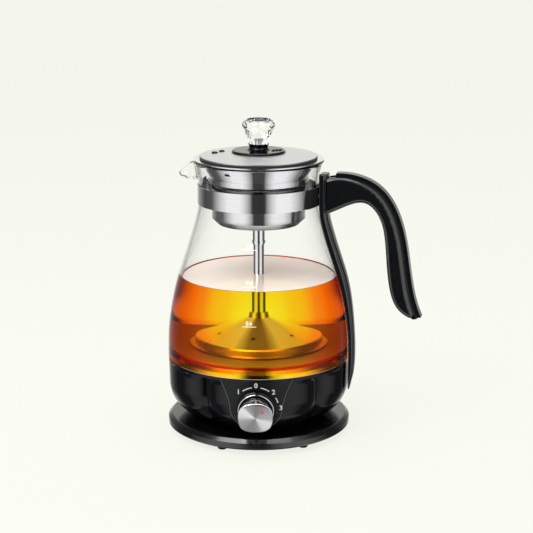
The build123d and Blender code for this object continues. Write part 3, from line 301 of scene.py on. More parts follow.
def spun_knob():
    """Turned aluminium: rings on the face with wedges of painted highlight and shade, painted shade
    at its foot, and a polished side.
    """
    n = material("spun_metal")
    from_dial = n.vector("SUBTRACT", n.place(), (0.0, DIAL_Y * MM, DIAL_Z * MM))
    height = n.vector("DOT_PRODUCT", from_dial, DIAL_AXIS)
    outward = n.vector("SUBTRACT", from_dial, n.vector("SCALE", DIAL_AXIS, scale=height))
    radius = n.vector("LENGTH", outward)
    face = n.math("GREATER_THAN", height, KNOB_FACE_LOW * MM)
    rings = n.math("SINE", n.math("MULTIPLY", radius, RING_RATE))
    cut = n.math("MULTIPLY", n.math("MULTIPLY", rings, n.noise(420, detail=3)), face)
    up = n.vector("DOT_PRODUCT", outward, DIAL_UP)
    right = n.vector("DOT_PRODUCT", outward, (1.0, 0.0, 0.0))
    clock = n.math("DIVIDE", n.math("ARCTAN2", right, up), 2 * pi)
    clock = n.math("FRACT", n.math("ADD", clock, 1.0))
    # painted highlight and shade in wedges round the face
    painted_wedges = n.ramp(clock, [(share, (tone, tone, tone * 1.01)) for share, tone in FACE_PAINTED_WEDGES])
    # painted shade at the knob's foot, inside the skirt's bright edge
    below = n.math("LESS_THAN", height, KNOB_SHADE_TOP * MM)
    shade = n.math("MULTIPLY", below, n.math("LESS_THAN", radius, KNOB_SHADE_R * MM))
    side = n.blend(shade, (0.8, 0.8, 0.81), (0.012, 0.012, 0.013))
    principled(
        n,
        Base_Color=n.blend(face, side, painted_wedges),
        Metallic=1.0,
        Roughness=n.spread(face, 0.12, 0.3, 0.0, 1.0),
        Anisotropic=0.85,
        Tangent=n.to_world(outward),
        Normal=n.bump(cut, 0.2, SCRATCH_DEPTH),
    )


PLATE_ROLL = (69.6, 70.3)  # heights between which the plate's wall rolls into its top
# painted reflection: colours of the plate's wall by degrees from the front, dark at the front and
# bright at the sides
PLATE_WALL_PAINTED_REFLECTION = [(0.0, (0.2, 0.12, 0.06)), (5.4, (0.25, 0.15, 0.08)), (10.8, (1.0, 0.86, 0.5))]


def heated_plate():
    """The plate under the tea: a rolled wall with a painted reflection, dark down its front and
    bright at its sides, and a dull, darker top.
    """
    n = material("plate_steel_painted_reflection")
    axes = n.axes(n.place())
    top = n.share(axes["Z"], PLATE_ROLL[0] * MM, PLATE_ROLL[1] * MM)
    # painted reflection on the wall, by side
    wall = n.ramp_aside(n.aside(axes), PLATE_WALL_PAINTED_REFLECTION)
    principled(
        n,
        Base_Color=n.blend(top, wall, (0.46, 0.24, 0.1)),
        Metallic=1.0,
        Roughness=n.spread(top, 0.13, 0.5, 0.0, 1.0),
        Normal=n.bump(n.noise(900, detail=4), 0.3, 2 * SCRATCH_DEPTH),
    )


CONE_FACE_LOW = 77.3  # the cone's sloping face begins above this height
CONE_FLANGE_TOP = 71.6  # and its flat flange lies below this one
# painted reflection: tones of the cone's face by degrees from the front, a dark strip between
# bright flanks
CONE_PAINTED_REFLECTION = [(0.0, (0.34, 0.2, 0.12)), (10.8, (0.36, 0.22, 0.13)), (27.0, (0.97, 0.76, 0.5))]


def spray_cone():
    """The pressed cone in the tea: a painted reflection of bright flanks and a darker strip down
    its front, and a flange darkened as painted shade.
    """
    n = material("cone_steel")
    axes = n.axes(n.place())
    face = n.ramp_aside(n.aside(axes), CONE_PAINTED_REFLECTION)
    on_face = n.math("GREATER_THAN", axes["Z"], CONE_FACE_LOW * MM)
    on_flange = n.math("LESS_THAN", axes["Z"], CONE_FLANGE_TOP * MM)
    # the flange's dark colour is painted shade round the foot of the cone
    tone = n.blend(on_flange, n.blend(on_face, (0.6, 0.42, 0.25), face), (0.22, 0.13, 0.07))
    rough = n.spread(n.noise(20, detail=2), 0.24, 0.28)
    principled(n, Base_Color=tone, Metallic=1.0, Roughness=rough)


WALL_FACING = 0.25  # a wall's normal has this much or more of the level way out or in


def wall_steel(name, upright, roughness=0.13, lift=0.0, painted_shades=None):
    """Polished steel for the insert, which mirrors what stands round it more than the tea below.

    upright straightens what the walls mirror, lift raises it above the tea, and the stops of
    painted shade, as (height, tone), darken the steel by height."""
    n = material(name)
    axes = n.axes(n.place())
    level = n.add("ShaderNodeCombineXYZ", {"X": axes["X"], "Y": axes["Y"]}).outputs[0]
    outward = n.to_world(n.vector("NORMALIZE", level))
    facing = n.vector("DOT_PRODUCT", outward, n.facing())
    outside = n.math("GREATER_THAN", facing, WALL_FACING)
    sign = n.math("SUBTRACT", outside, n.math("LESS_THAN", facing, -WALL_FACING))
    straight = n.vector("SCALE", outward, scale=n.math("MULTIPLY", sign, upright))
    above_tea = n.math("GREATER_THAN", axes["Z"], TEA_TOP * MM)
    raised = n.vector("SCALE", (0.0, 0.0, 1.0), scale=n.math("MULTIPLY", above_tea, lift))
    grain = n.noise(1100, AROUND, detail=4, roughness=0.7)
    tone = n.mottled(grain, (0.8, 0.8, 0.81))
    # painted shade: darker bands of the steel's colour by height
    if painted_shades:
        low, high = painted_shades[0][0], painted_shades[-1][0]
        stops = [((height - low) / (high - low), shade) for height, shade in painted_shades]
        tone = n.vector("MULTIPLY", tone, n.ramp(n.share(axes["Z"], low * MM, high * MM), stops))
    principled(
        n,
        Base_Color=tone,
        Metallic=1.0,
        Roughness=roughness,
        Anisotropic=0.6,
        Anisotropic_Rotation=BRUSH_TURN,
        Tangent=n.round_z(),
        Normal=n.bump(grain, 0.3, SCRATCH_DEPTH, n.leaned(n.vector("ADD", straight, raised))),
    )


def ink(name, colour, low, high):
    """A printed ink with a roughness from low to high."""
    n = material(name)
    principled(n, Base_Color=(*colour, 1), Roughness=n.spread(n.noise(300), low, high))


# seen square on the tea is yellow, and towards its edges orange and then red
TEA_TINTS = [
    (0.0, (1.0, 0.88, 0.03)),
    (0.012, (1.0, 0.82, 0.015)),
    (0.035, (1.0, 0.58, 0.003)),
    (0.065, (1.0, 0.48, 0.001)),
    (0.11, (1.0, 0.17, 0.0005)),
    (0.17, (0.98, 0.12, 0.0005)),
    (0.21, (0.94, 0.11, 0.0005)),
    (0.3, (0.85, 0.09, 0.001)),
]
TEA_IOR = 1.33


def tea_looks():
    """The clear tea seen through its side, and its pale top."""
    n, shader = clear("tea", TEA_IOR, 0.02)
    edge_on = n.add("ShaderNodeLayerWeight", {"Blend": 0.5}).outputs["Facing"]
    n.set(shader, "Base Color", n.ramp(edge_on, TEA_TINTS))
    n = material("tea_top")
    principled(
        n,
        Base_Color=(1.0, 0.88, 0.77, 1),
        Roughness=0.05,
        IOR=TEA_IOR,
        Transmission_Weight=0.2,
        Normal=n.bump(n.noise(30, detail=2), 0.3, 0.0002),
    )


# painted shade: darker where the cup turns under, and a band of it in the shade of the collar
CUP_PAINTED_SHADE = [
    (171.0, 0.3), (173.0, 0.42), (176.5, 0.75), (179.0, 1.0),
    (200.9, 1.0), (201.1, 0.2), (205.2, 0.2), (205.4, 1.0),
]

moulded_plastic("black_gloss", (0.0025, 0.0025, 0.0035), 0.07, specular=0.3)
moulded_plastic("base_gloss", (0.002, 0.002, 0.0026), 0.16, specular=0.9)
moulded_plastic("panel_black", (0.009, 0.0095, 0.011), 0.14, specular=0.16)
moulded_plastic("handle_black", (0.004, 0.0045, 0.0055), 0.12, 0.05, 0.9, (0.17, -0.03, 0.0))
moulded_plastic("black_plastic", (0.01, 0.01, 0.011), 0.42, 1.0, specular=0.3)
moulded_plastic("rubber", (0.012, 0.012, 0.012), 0.7, 1.0, specular=0.3)
moulded_plastic("silicone", (0.6, 0.58, 0.55), 0.4, 0.5)
moulded_plastic("silicone_black", (0.006, 0.006, 0.007), 0.35, 0.3, specular=0.3)
moulded_plastic("rim_silicone", (0.035, 0.035, 0.037), 0.4, 0.3, specular=0.4)
moulded_plastic("marker_red", (0.66, 0.04, 0.07), 0.3)
metal("steel", (0.83, 0.83, 0.84), 0.13, AROUND, anisotropic=0.6)
metal("polished_steel", (0.85, 0.85, 0.86), 0.06, AROUND)
metal("lid_steel", (0.74, 0.74, 0.75), 0.4, (0.06, 1.0, 1.0), dark=0.9)
metal("zinc", (0.6, 0.61, 0.63), 0.35)
metal("dark_steel", (0.2, 0.19, 0.18), 0.45)
metal("aluminium", (0.75, 0.75, 0.76), 0.4)
metal("contact_brass", (0.8, 0.62, 0.3), 0.25)
wall_steel("collar_steel", 14.0)
wall_steel("cup_steel", 2.2, painted_shades=CUP_PAINTED_SHADE)
wall_steel("riser_steel", 0.0, 0.08, lift=0.35)
spun_knob()
heated_plate()
spray_cone()
clear("glass", 1.47, 0.15)
clear("crystal", 1.55)
tea_looks()
ink("ink", (0.62, 0.63, 0.64), 0.4, 0.55)
ink("line_ink", (0.11, 0.11, 0.115), 0.25, 0.35)
ink("level_ink", (0.95, 0.9, 0.75), 0.4, 0.5)

# nodes whose material isn't their slot's
NODE_MATERIALS = {
    "lid_disc": "lid_steel",
    "base_cover": "base_gloss",
    "riser_tube": "riser_steel",
    "basket_stub": "polished_steel",
    "grip_rib": "handle_black",
    "heating_plate": "plate_steel_painted_reflection",
    "diffuser_cone": "cone_steel",
    "basket_collar": "collar_steel",
    "basket_cup": "cup_steel",
    "lid_rim": "rim_silicone",
}
for part in frame["record"]["subparts"]:
    node_materials = frame["nodes"][part["node"]].data.materials
    node_materials.clear()
    node_materials.append(surfaces[NODE_MATERIALS.get(part["node"], part["material_slot"])])


# ================================================================ mesh helpers
def add_piece(name, mesh_data, body, looks, replaced=()):
    """A piece of this script on a body, in named materials, in place of the replaced nodes."""
    piece = bpy.data.objects.new(name, mesh_data)
    scene.collection.objects.link(piece)
    for look in looks:
        mesh_data.materials.append(surfaces[look])
    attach(piece, body)
    if replaced:
        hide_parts(*replaced)
    return piece


def finished(bm, name, sharp_angle=40.0):
    """The mesh of a bmesh, shaded smooth apart from edges sharper than an angle."""
    bmesh.ops.recalc_face_normals(bm, faces=bm.faces)
    mesh = bpy.data.meshes.new(name)
    bm.to_mesh(mesh)
    bm.free()
    mesh.polygons.foreach_set("use_smooth", [True] * len(mesh.polygons))
    mesh.set_sharp_from_angle(angle=radians(sharp_angle))
    return mesh


def skin(name, rows, closed=True, sharp_angle=40.0):
    """A mesh through rows of points. Each row is a loop; a row of one point is a pole."""
    bm = bmesh.new()
    loops = [[bm.verts.new([c * MM for c in point]) for point in row] for row in rows]
    count = max(len(row) for row in rows)
    for low, high in zip(loops, loops[1:] + (loops[:1] if closed else [])):
        for i in range(count):
            k = (i + 1) % count
            corners = [low[i % len(low)], low[k % len(low)]]
            corners += [high[k % len(high)], high[i % len(high)]]
            unique = list(dict.fromkeys(corners))
            if len(unique) > 2:
                bm.faces.new(unique)
    return finished(bm, name, sharp_angle)


def circle(radius, height, segments):
    """A row round the Z axis; a radius of 0 makes a pole."""
    if radius == 0:
        return [(0, 0, height)]
    return [polar(radius, 2 * pi * i / segments, height) for i in range(segments)]


def revolved(name, profile, segments):
    """A closed (radius, height) profile turned round the Z axis."""
    return skin(name, [circle(r, z, segments) for r, z in profile])


def curve_points(points, steps, start=None, end=None):
    """Points of a Catmull-Rom curve through the given points, steps to each of its spans.

    start and end are the way it runs at its ends; without them it runs straight on."""
    out = []
    for i in range(len(points) - 1):
        p1, p2 = Vector(points[i]), Vector(points[i + 1])
        p0 = Vector(points[i - 1]) if i else p1 - Vector(start or p2 - p1)
        p3 = Vector(points[i + 2]) if i + 2 < len(points) else p2 + Vector(end or p2 - p1)
        for k in range(steps):
            t = k / steps
            square, cube = 2 * p0 - 5 * p1 + 4 * p2 - p3, 3 * p1 - p0 - 3 * p2 + p3
            out.append(0.5 * (2 * p1 + (p2 - p0) * t + (square * t * t + cube * t**3)))
    out.append(Vector(points[-1]))
    return [tuple(p) for p in out]


def between(value, table):
    """A value from a table of (position, value) pairs, eased between them."""
    if value <= table[0][0]:
        return table[0][1]
    for (x0, y0), (x1, y1) in zip(table, table[1:]):
        if value <= x1:
            t = (value - x0) / (x1 - x0)
            return y0 + (y1 - y0) * t * t * (3 - 2 * t)
    return table[-1][1]


def strip_faces(steps):
    """The faces of a strip whose points go to and fro between its two sides."""
    return [(2 * i, 2 * i + 1, 2 * i + 3, 2 * i + 2) for i in range(steps)]


# ================================================================ glass jug
GLASS_WALL = 2.6
# outer radius and height, from the foot to the neck
GLASS_OUTER = [
    (74.2, 62.6), (73.5, 86.0), (70.0, 109.5), (65.2, 129.0),
    (56.4, 156.4), (50.4, 177.5), (48.6, 188.0),
]
NECK_R = GLASS_OUTER[-1][0]
NECK_HIGH = 204.0  # the neck flares from here up
NECK_HEIGHTS = (193.0, 198.5, NECK_HIGH)
GLASS_TOP = 222.8
RIM_R = 52.4
RIM_SLOPE = 0.55  # how steeply the flare runs outwards at the rim
RIM_ROUNDING = 0.7
FLARE_STEPS = 14
HANDLE_AZIMUTH = 78.8  # degrees
SPOUT_AZIMUTH = HANDLE_AZIMUTH + 180
SPOUT_OUT = 13.6
SPOUT_DROP = 12.2
SPOUT_HALF_ANGLE = 8.0  # degrees
SPOUT_THINNING = 1.1
# how much of the spout's reach and of its drop there is, by the share of the flare's height
SPOUT_REACH = [(0.0, 0.0), (0.3, 0.36), (0.6, 0.8), (0.85, 1.04), (1.0, 1.0)]
SPOUT_FALL = [(0.0, 0.0), (0.3, 0.4), (0.6, 0.79), (0.85, 1.03), (1.0, 1.0)]
SPOUT_FINE = 26  # degrees to each side of the spout that have a column each
FAR_COLUMNS = 122  # on the rest of the jug

glass_line = curve_points(GLASS_OUTER, 8, start=(0, 12), end=(0, 10))


def outer_radius(height):
    """Outer radius of the glass at a height, on the straight runs between its points."""
    for (r0, z0), (r1, z1) in zip(glass_line, glass_line[1:]):
        if z0 <= height <= z1:
            return r0 + (r1 - r0) * (height - z0) / (z1 - z0)
    return glass_line[-1][0]


def glass_mesh():
    """The jug, its lip pulled out into a spout."""
    first = SPOUT_FINE + 1
    offsets = [float(i) for i in range(-SPOUT_FINE, first)]
    offsets += [first + i * (360 - 2 * first) / FAR_COLUMNS for i in range(FAR_COLUMNS)]
    stations = [(r, z, 0.0) for r, z in glass_line + [(NECK_R, z) for z in NECK_HEIGHTS]]
    rise = GLASS_TOP - NECK_HIGH
    for k in range(1, FLARE_STEPS + 1):
        t = k / FLARE_STEPS
        blend = 3 * t * t - 2 * t**3
        radius = NECK_R + (RIM_R - NECK_R) * blend + RIM_SLOPE * rise * (t**3 - t * t)
        stations.append((radius, NECK_HIGH + rise * t, t))
    outer, weights = [], []
    for radius, height, t in stations:
        reach, fall = between(t, SPOUT_REACH), between(t, SPOUT_FALL)
        row, shares = [], []
        for offset in offsets:
            away = abs(offset) if offset <= 180 else 360 - offset
            peak = exp(-((away / SPOUT_HALF_ANGLE) ** 1.8))
            r, z = radius + SPOUT_OUT * peak * reach, height - SPOUT_DROP * peak * fall
            row.append(Vector(polar(r, radians(SPOUT_AZIMUTH + offset), z)))
            shares.append(peak * min(reach, 1.0))
        outer.append(row)
        weights.append(shares)
    # the wall is measured level, and square to the glass at the spout
    inner = []
    count = len(offsets)
    for j, row in enumerate(outer):
        below, above = outer[max(j - 1, 0)], outer[min(j + 1, len(outer) - 1)]
        inner_row = []
        for i, point in enumerate(row):
            across = row[(i + 1) % count] - row[i - 1]
            normal = across.cross(above[i] - below[i]).normalized()
            level = Vector((point.x, point.y, 0)).normalized()
            share = weights[j][i]
            direction = (level * (1 - share) + normal * share).normalized()
            inner_row.append(point - direction * (GLASS_WALL - SPOUT_THINNING * share))
        inner.append(inner_row)
    ease = Vector((0, 0, RIM_ROUNDING))
    crown = [(a + b) / 2 for a, b in zip(outer[-1], inner[-1])]
    for rows in (outer, inner):
        rows[-1] = [point - ease for point in rows[-1]]
    return skin("jug_glass", outer + [crown] + inner[::-1], sharp_angle=60)


jug_glass = add_piece("jug_glass", glass_mesh(), "jug", ["glass"], ["glass_jug"])

# ================================================================ tea
PLATE_WALL_R = 68.8
TEA_OVERLAP = 0.15  # into the glass, so that no air shows between them


def tea_mesh():
    """The tea over the plate, with a flat top that rises a little where it meets the glass."""
    low = GLASS_OUTER[0][1] + 0.02
    foot = [(outer_radius(low) - 0.25, low), (outer_radius(65.0) - 0.6, 65.0)]
    side = [(r - GLASS_WALL + TEA_OVERLAP, z) for r, z in glass_line if 69 < z < TEA_TOP - 1]
    edge = outer_radius(TEA_TOP) - GLASS_WALL
    top = [(edge + TEA_OVERLAP, 0.9), (edge - 0.3, 0.5), (edge - 1.4, 0.08)]
    top += [(edge - 4, 0), (edge / 2, 0), (0, 0)]
    bed, wall = PLATE_TOP - 0.1, PLATE_WALL_R - 0.1
    profile = [(0, bed), (PLATE_WALL_R - 2, bed), (wall, PLATE_TOP - 2), (wall, low)]
    profile += foot + side + [(r, TEA_TOP + rise) for r, rise in top]
    mesh = revolved("tea", profile, 160)
    for face in mesh.polygons:
        centre = face.center
        within = Vector((centre.x, centre.y)).length < (edge - 1.2) * MM
        if within and centre.z > (TEA_TOP - 0.01) * MM:
            face.material_index = 1
    return mesh


tea = add_piece("tea", tea_mesh(), "jug", ["tea", "tea_top"])
for piece in (jug_glass, tea):
    piece.visible_shadow = False  # light reaches what is inside
    piece.visible_diffuse = False

# ================================================================ spine of the handle
# height, inner and outer distance from the axis, half width
SPINE = [
    (213.6, 50.45, 57.0, 7.6),
    (190.0, 50.45, 57.0, 7.6),
    (184.0, 50.9, 57.3, 7.6),
    (176.0, 51.9, 58.3, 7.4),
    (159.5, 56.3, 63.2, 7.0),
    (147.0, 60.3, 67.4, 6.6),
    (129.0, 66.0, 73.2, 6.0),
    (109.5, 71.0, 77.0, 5.4),
    (86.0, 74.4, 79.3, 5.0),
    (66.0, 75.1, 80.0, 4.8),
    (52.0, 74.8, 79.2, 4.6),
    (43.0, 74.8, 77.4, 4.4),
    (38.0, 74.8, 76.2, 3.6),
    (36.2, 74.8, 75.6, 2.4),
]
# share of the thickness, and how far in from the side: a flank, a fine groove and a rounded back
SPINE_SECTION = [
    (0.0, 0.35), (0.04, 0.08), (0.1, 0.0), (0.5, 0.0), (0.6, 0.1), (0.66, 0.55),
    (0.71, 0.62), (0.76, 0.35), (0.83, 0.4), (0.91, 0.85), (0.97, 1.7), (1.0, 2.9),
]


def spine_mesh():
    """The moulded strip that carries the grip, rounded and tapering down the glass."""
    a = radians(HANDLE_AZIMUTH)
    out, side = Vector(polar(1, a, 0)), Vector((cos(a), sin(a), 0))
    path = curve_points(SPINE[::-1], 5)
    # each station with the share of its size and how far it is lowered, both to round the ends
    stations = [(path[0], 0.82, 0.0)] + [(station, 1.0, 0.0) for station in path[1:-1]]
    stations += [(path[-1], 1.0, -0.7), (path[-1], 0.86, 0.0)]
    rows = []
    for (z, inner, outer, half), share, drop in stations:
        middle, thick = (inner + outer) / 2, (outer - inner) / 2
        flank = [(middle + (2 * u - 1) * thick * share, half * share - v) for u, v in SPINE_SECTION]
        row = [out * r - side * t for r, t in flank] + [out * r + side * t for r, t in flank[::-1]]
        rows.append([point + Vector((0, 0, z + drop)) for point in row])
    low, high = ([sum(row, Vector()) / len(row)] for row in (rows[0], rows[-1]))
    return skin("spine", [low] + rows + [high], closed=False, sharp_angle=50)


add_piece("spine", spine_mesh(), "jug", ["handle_black"], ["handle_spine"])

# ================================================================ lobed housing and its panel
HOUSING_TOP = 62.0
HOUSING_LOW = 13.3
BELT_Z = 41.0  # below it the lobes turn under
LOBE_TURN = 5.0  # degrees
LOBE_COUNT = 4
LOBE_SHIFT = 10.0  # from the jug's axis to a lobe's own
LOBE_COLUMNS = 44
LOBE_SIDE_R = 64.0
LOBE_BELT_R = 63.5
LOBE_FLAT_R = 36.5
LAND_R = 73.6  # of the round rim over the lobes
CREASE_DEPTH = 8.0
CREASE_SHARES = [(HOUSING_LOW, 0.25), (28, 1.0), (56, 1.0), (59.4, 0.0)]  # by height
BEND_STEPS = 22
SIDE_HEIGHTS = [44, 47, 50, 53, 56, 57, 58, 58.8, 59.4]
# radius and height of the rim and of the surface inside
HOUSING_INSIDE = [
    (LAND_R - 0.4, 62.0), (71.4, 62.0), (71.4, 59.9), (58.0, 59.0),
    (58.0, 30.0), (41.3, 16.0), (41.3, HOUSING_LOW),
]


def lobe_radius(height):
    """Radius of a lobe about its own axis."""
    if height >= BELT_Z:
        wider = LOBE_SIDE_R - LOBE_BELT_R
        return LOBE_BELT_R + wider * (height - BELT_Z) / (HOUSING_TOP - BELT_Z)
    share = (BELT_Z - height) / (BELT_Z - HOUSING_LOW)
    return LOBE_FLAT_R + (LOBE_BELT_R - LOBE_FLAT_R) * sqrt(max(0.0, 1 - share * share))


def housing_row(height, least=0.0):
    """A row round the four lobes, no nearer to the axis than the least radius."""
    half = 180 / LOBE_COUNT
    depth = CREASE_DEPTH * between(height, CREASE_SHARES)
    radius = lobe_radius(height)
    points = []
    for lobe in range(LOBE_COUNT):
        for column in range(LOBE_COLUMNS):
            step = -half + 2 * half * column / LOBE_COLUMNS
            t = radians(step)
            r = LOBE_SHIFT * cos(t) + sqrt(radius**2 - (LOBE_SHIFT * sin(t)) ** 2)
            r = max(r - depth * (abs(step) / half) ** 5, least)
            points.append(polar(r, radians(LOBE_TURN + lobe * 2 * half + step), height))
    return points


def housing_mesh():
    """The jug's foot: four pillowed lobes that roll into deep creases."""
    bend = [radians(90 - 90 * i / BEND_STEPS) for i in range(BEND_STEPS + 1)]
    heights = [BELT_Z - (BELT_Z - HOUSING_LOW) * sin(b) for b in bend] + SIDE_HEIGHTS
    rows = [housing_row(z) for z in heights] + [housing_row(z, LAND_R) for z in (59.7, 61.7)]
    rows += [circle(r, z, LOBE_COLUMNS * LOBE_COUNT) for r, z in HOUSING_INSIDE]
    return skin("housing", rows)


add_piece("housing", housing_mesh(), "jug", ["black_gloss"], ["lower_housing"])

PANEL_R = 21.2  # of its round lower end, about the dial
PANEL_TOP_HALF = 30.0  # half its width at the top
PANEL_MIDDLE_Z = 44.0
PANEL_PROUD = 0.25  # over the lobe
# share of the outline's size and height over the lobe, from the edge in
PANEL_LEVELS = [(1.0, -0.3), (0.997, 0.0), (0.985, 0.17), (0.968, PANEL_PROUD)]
PANEL_LEVELS += [(share, PANEL_PROUD) for share in (0.9, 0.8, 0.7, 0.6, 0.5, 0.4, 0.3, 0.2, 0.1)]

lobe_x, lobe_y, _ = polar(LOBE_SHIFT, radians(LOBE_TURN), 0)


def on_panel(x, z, proud):
    """The point in front of (x, z) that stands proud of the front lobe."""
    radius = lobe_radius(z) + proud
    return (x, lobe_y - sqrt(radius**2 - (x - lobe_x) ** 2), z)


def in_panel(x, z, share):
    """A point of the panel's outline drawn in towards its middle."""
    return x * share, PANEL_MIDDLE_Z + (z - PANEL_MIDDLE_Z) * share


def hermite(p0, p1, m0, m1, t):
    """The point at t of a curve from p0 to p1 that leaves along m0 and arrives along m1."""
    a, b = 2 * t**3 - 3 * t * t + 1, t**3 - 2 * t * t + t
    c, d = 3 * t * t - 2 * t**3, t**3 - t * t
    return tuple(p0[i] * a + m0[i] * b + p1[i] * c + m1[i] * d for i in (0, 1))


def panel_points():
    """The shield's outline in (x, z): round below, with sides that sweep out to a level top."""
    ends = (PANEL_R, DIAL_Z), (PANEL_TOP_HALF, 63.0)
    side = [hermite(*ends, (3.1, 26.0), (10.0, 24.0), k / 24) for k in range(25)]
    side = [point for point in side if point[1] < HOUSING_TOP - 0.3]
    low = [radians(180 + 180 * i / 40) for i in range(1, 40)]
    low = [(PANEL_R * cos(a), DIAL_Z + PANEL_R * sin(a)) for a in low]
    top_x, top_z = side[-1]
    top = [(top_x * (1 - i / 12), top_z) for i in range(1, 24)]
    return low + side + top + [(-x, z) for x, z in reversed(side)], top_z


panel_outline, panel_top = panel_points()


def panel_mesh():
    """A shallow plate with a rolled edge, wrapped on the front lobe."""
    rows = []
    for share, proud in PANEL_LEVELS:
        rows.append([on_panel(*in_panel(x, z, share), proud) for x, z in panel_outline])
    rows.append([on_panel(0.0, PANEL_MIDDLE_Z, PANEL_PROUD)])
    return skin("panel", rows, closed=False)


add_piece("panel", panel_mesh(), "jug", ["panel_black"], ["control_panel"])

# ---------------------------------------------------------------- knob
KNOB_INSIDE_R = 10.9
KNOB_COLUMNS = 96
# distance from the axis and height over the panel, from the skirt to the face
KNOB_PROFILE = [
    (KNOB_INSIDE_R, 3.8), (13.9, 3.8), (14.15, 4.1), (14.15, 4.65), (13.9, 4.9), (12.3, 4.95),
    (12.1, 5.3), (12.2, 8.0), (12.6, 12.0), (12.95, 15.4), (12.9, 16.4), (12.55, 16.85),
    (12.1, 17.04), (11.2, 17.06), (5.0, 17.06), (0.0, 17.06), (0.0, 15.9), (KNOB_INSIDE_R, 15.9),
]
KNOB_SWELL = [(5.3, 0.0), (15.4, 1.0)]  # how far the face's form has come, by height
KNOB_WIDER = 0.055  # at the face it is wider than its mean radius, and lower at top and bottom
KNOB_SQUARE = 2.5  # exponent of the face's outline: 2 is an ellipse


def knob_mesh():
    """The turned knob, swelling towards its face, which is wider than it is high."""
    up, right = Vector(DIAL_UP), Vector((1, 0, 0))
    origin, axis = Vector((0, DIAL_Y, DIAL_Z)), Vector(DIAL_AXIS)
    rows = []
    for radius, height in KNOB_PROFILE:
        share = between(height, KNOB_SWELL) if radius > KNOB_INSIDE_R else 0.0
        wide, high = 1 + KNOB_WIDER * share, 1 - KNOB_WIDER * share
        power = 2 + (KNOB_SQUARE - 2) * share
        row = []
        for i in range(KNOB_COLUMNS if radius else 1):
            a = 2 * pi * i / KNOB_COLUMNS
            oval = (abs(sin(a) / wide) ** power + abs(cos(a) / high) ** power) ** (-1 / power)
            row.append(origin + axis * height + (right * sin(a) + up * cos(a)) * radius * oval)
        rows.append(row)
    return skin("knob", rows, sharp_angle=35)


add_piece("knob", knob_mesh(), "knob", ["spun_metal"], ["knob_cap"])

# ---------------------------------------------------------------- printed marks
PRINT_PROUD = 0.06
LINE_PROUD = 0.05
PANEL_LINE = (0.975, 0.959)  # the line's two sides, as shares of the panel's outline
SCALE_R = 17.7
SCALE_WIDTH = 0.75
SCALE_ARCS = ((-36, -10), (12, 36), (60, 75))  # degrees clockwise from the top
FIGURE_R = 20.4
FIGURE_OVAL = (0.95, 0.93)  # the figures' circle is this much narrower and lower
FIGURE_SIZE = 5.4
FIGURES = (("1", -45), ("0", 0), ("2", 45), ("3", 90))
LEVELS = (("0.6", 104.0), ("0.8", 134.0), ("1.0", 161.0))  # litres and height
LEVEL_BAR = (-10.6, 0.2)  # its ends, to the right of the glass's middle
LEVEL_BAR_WIDTH = 0.5
LEVEL_FIGURES = (-5.4, 2.5)  # their middle, to the right and above the bar
LEVEL_SIZE = 4.2


def figures(text, size, x, y):
    """Vertices and faces of plain figures about (x, y)."""
    curve = bpy.data.curves.new("figures", "FONT")
    curve.body = text
    curve.size = size
    curve.offset = 0.02 * size
    curve.align_x = "CENTER"
    curve.align_y = "CENTER"
    holder = bpy.data.objects.new("figures", curve)
    mesh = bpy.data.meshes.new_from_object(holder)
    points = [(v.co.x + x, v.co.y + y) for v in mesh.vertices]
    faces = [tuple(p.vertices) for p in mesh.polygons]
    bpy.data.objects.remove(holder)
    bpy.data.meshes.remove(mesh)
    bpy.data.curves.remove(curve)
    return points, faces


def arc_band(radius, width, start, end, steps=14):
    """A flat band along an arc round the dial, degrees clockwise from the top."""
    points = []
    for i in range(steps + 1):
        a = radians(start + (end - start) * i / steps)
        for r in (radius - width / 2, radius + width / 2):
            points.append((r * sin(a), r * cos(a)))
    return points, strip_faces(steps)


def bar(x0, x1, z, width, steps=8):
    """A level bar from x0 to x1."""
    points = []
    for i in range(steps + 1):
        x = x0 + (x1 - x0) * i / steps
        points += [(x, z - width / 2), (x, z + width / 2)]
    return points, strip_faces(steps)


def on_glass(x, z):
    """The point on the jug's front at a height, x to the right."""
    radius = outer_radius(z) + PRINT_PROUD
    return (x, -sqrt(radius**2 - x * x), z)


def print_on(name, shapes, place, look):
    """Flat shapes set on a surface: place turns (x, y) into a point."""
    vertices, faces = [], []
    for points, polygons in shapes:
        start = len(vertices)
        vertices += [[c * MM for c in place(*point)] for point in points]
        faces += [[start + i for i in polygon] for polygon in polygons]
    mesh = bpy.data.meshes.new(name)
    mesh.from_pydata(vertices, [], faces)
    add_piece(name, mesh, "jug", [look])


def dial_shapes():
    """The arcs and figures round the knob, about the dial's middle."""
    shapes = [arc_band(SCALE_R, SCALE_WIDTH, *arc) for arc in SCALE_ARCS]
    for text, angle in FIGURES:
        a = radians(angle)
        x, y = FIGURE_R * sin(a) * FIGURE_OVAL[0], FIGURE_R * cos(a) * FIGURE_OVAL[1]
        shapes.append(figures(text, FIGURE_SIZE, x, y))
    return shapes


def panel_line_shape():
    """The fine line inside the panel's edge, left open along its top."""
    points = [in_panel(x, z, share) for x, z in panel_outline for share in PANEL_LINE]
    faces = []
    count = len(panel_outline)
    for i in range(count):
        k = (i + 1) % count
        if min(panel_outline[i][1], panel_outline[k][1]) < panel_top - 0.01:
            faces.append((2 * i, 2 * i + 1, 2 * k + 1, 2 * k))
    return points, faces


def level_shapes():
    """A bar and figures for each level."""
    shapes = []
    x, above = LEVEL_FIGURES
    for text, height in LEVELS:
        shapes.append(bar(*LEVEL_BAR, height, LEVEL_BAR_WIDTH))
        shapes.append(figures(text, LEVEL_SIZE, x, height + above))
    return shapes


def on_dial(x, y):
    """The point of the panel at (x, y) from the dial's middle."""
    return on_panel(x, DIAL_Z + y, PANEL_PROUD + PRINT_PROUD)


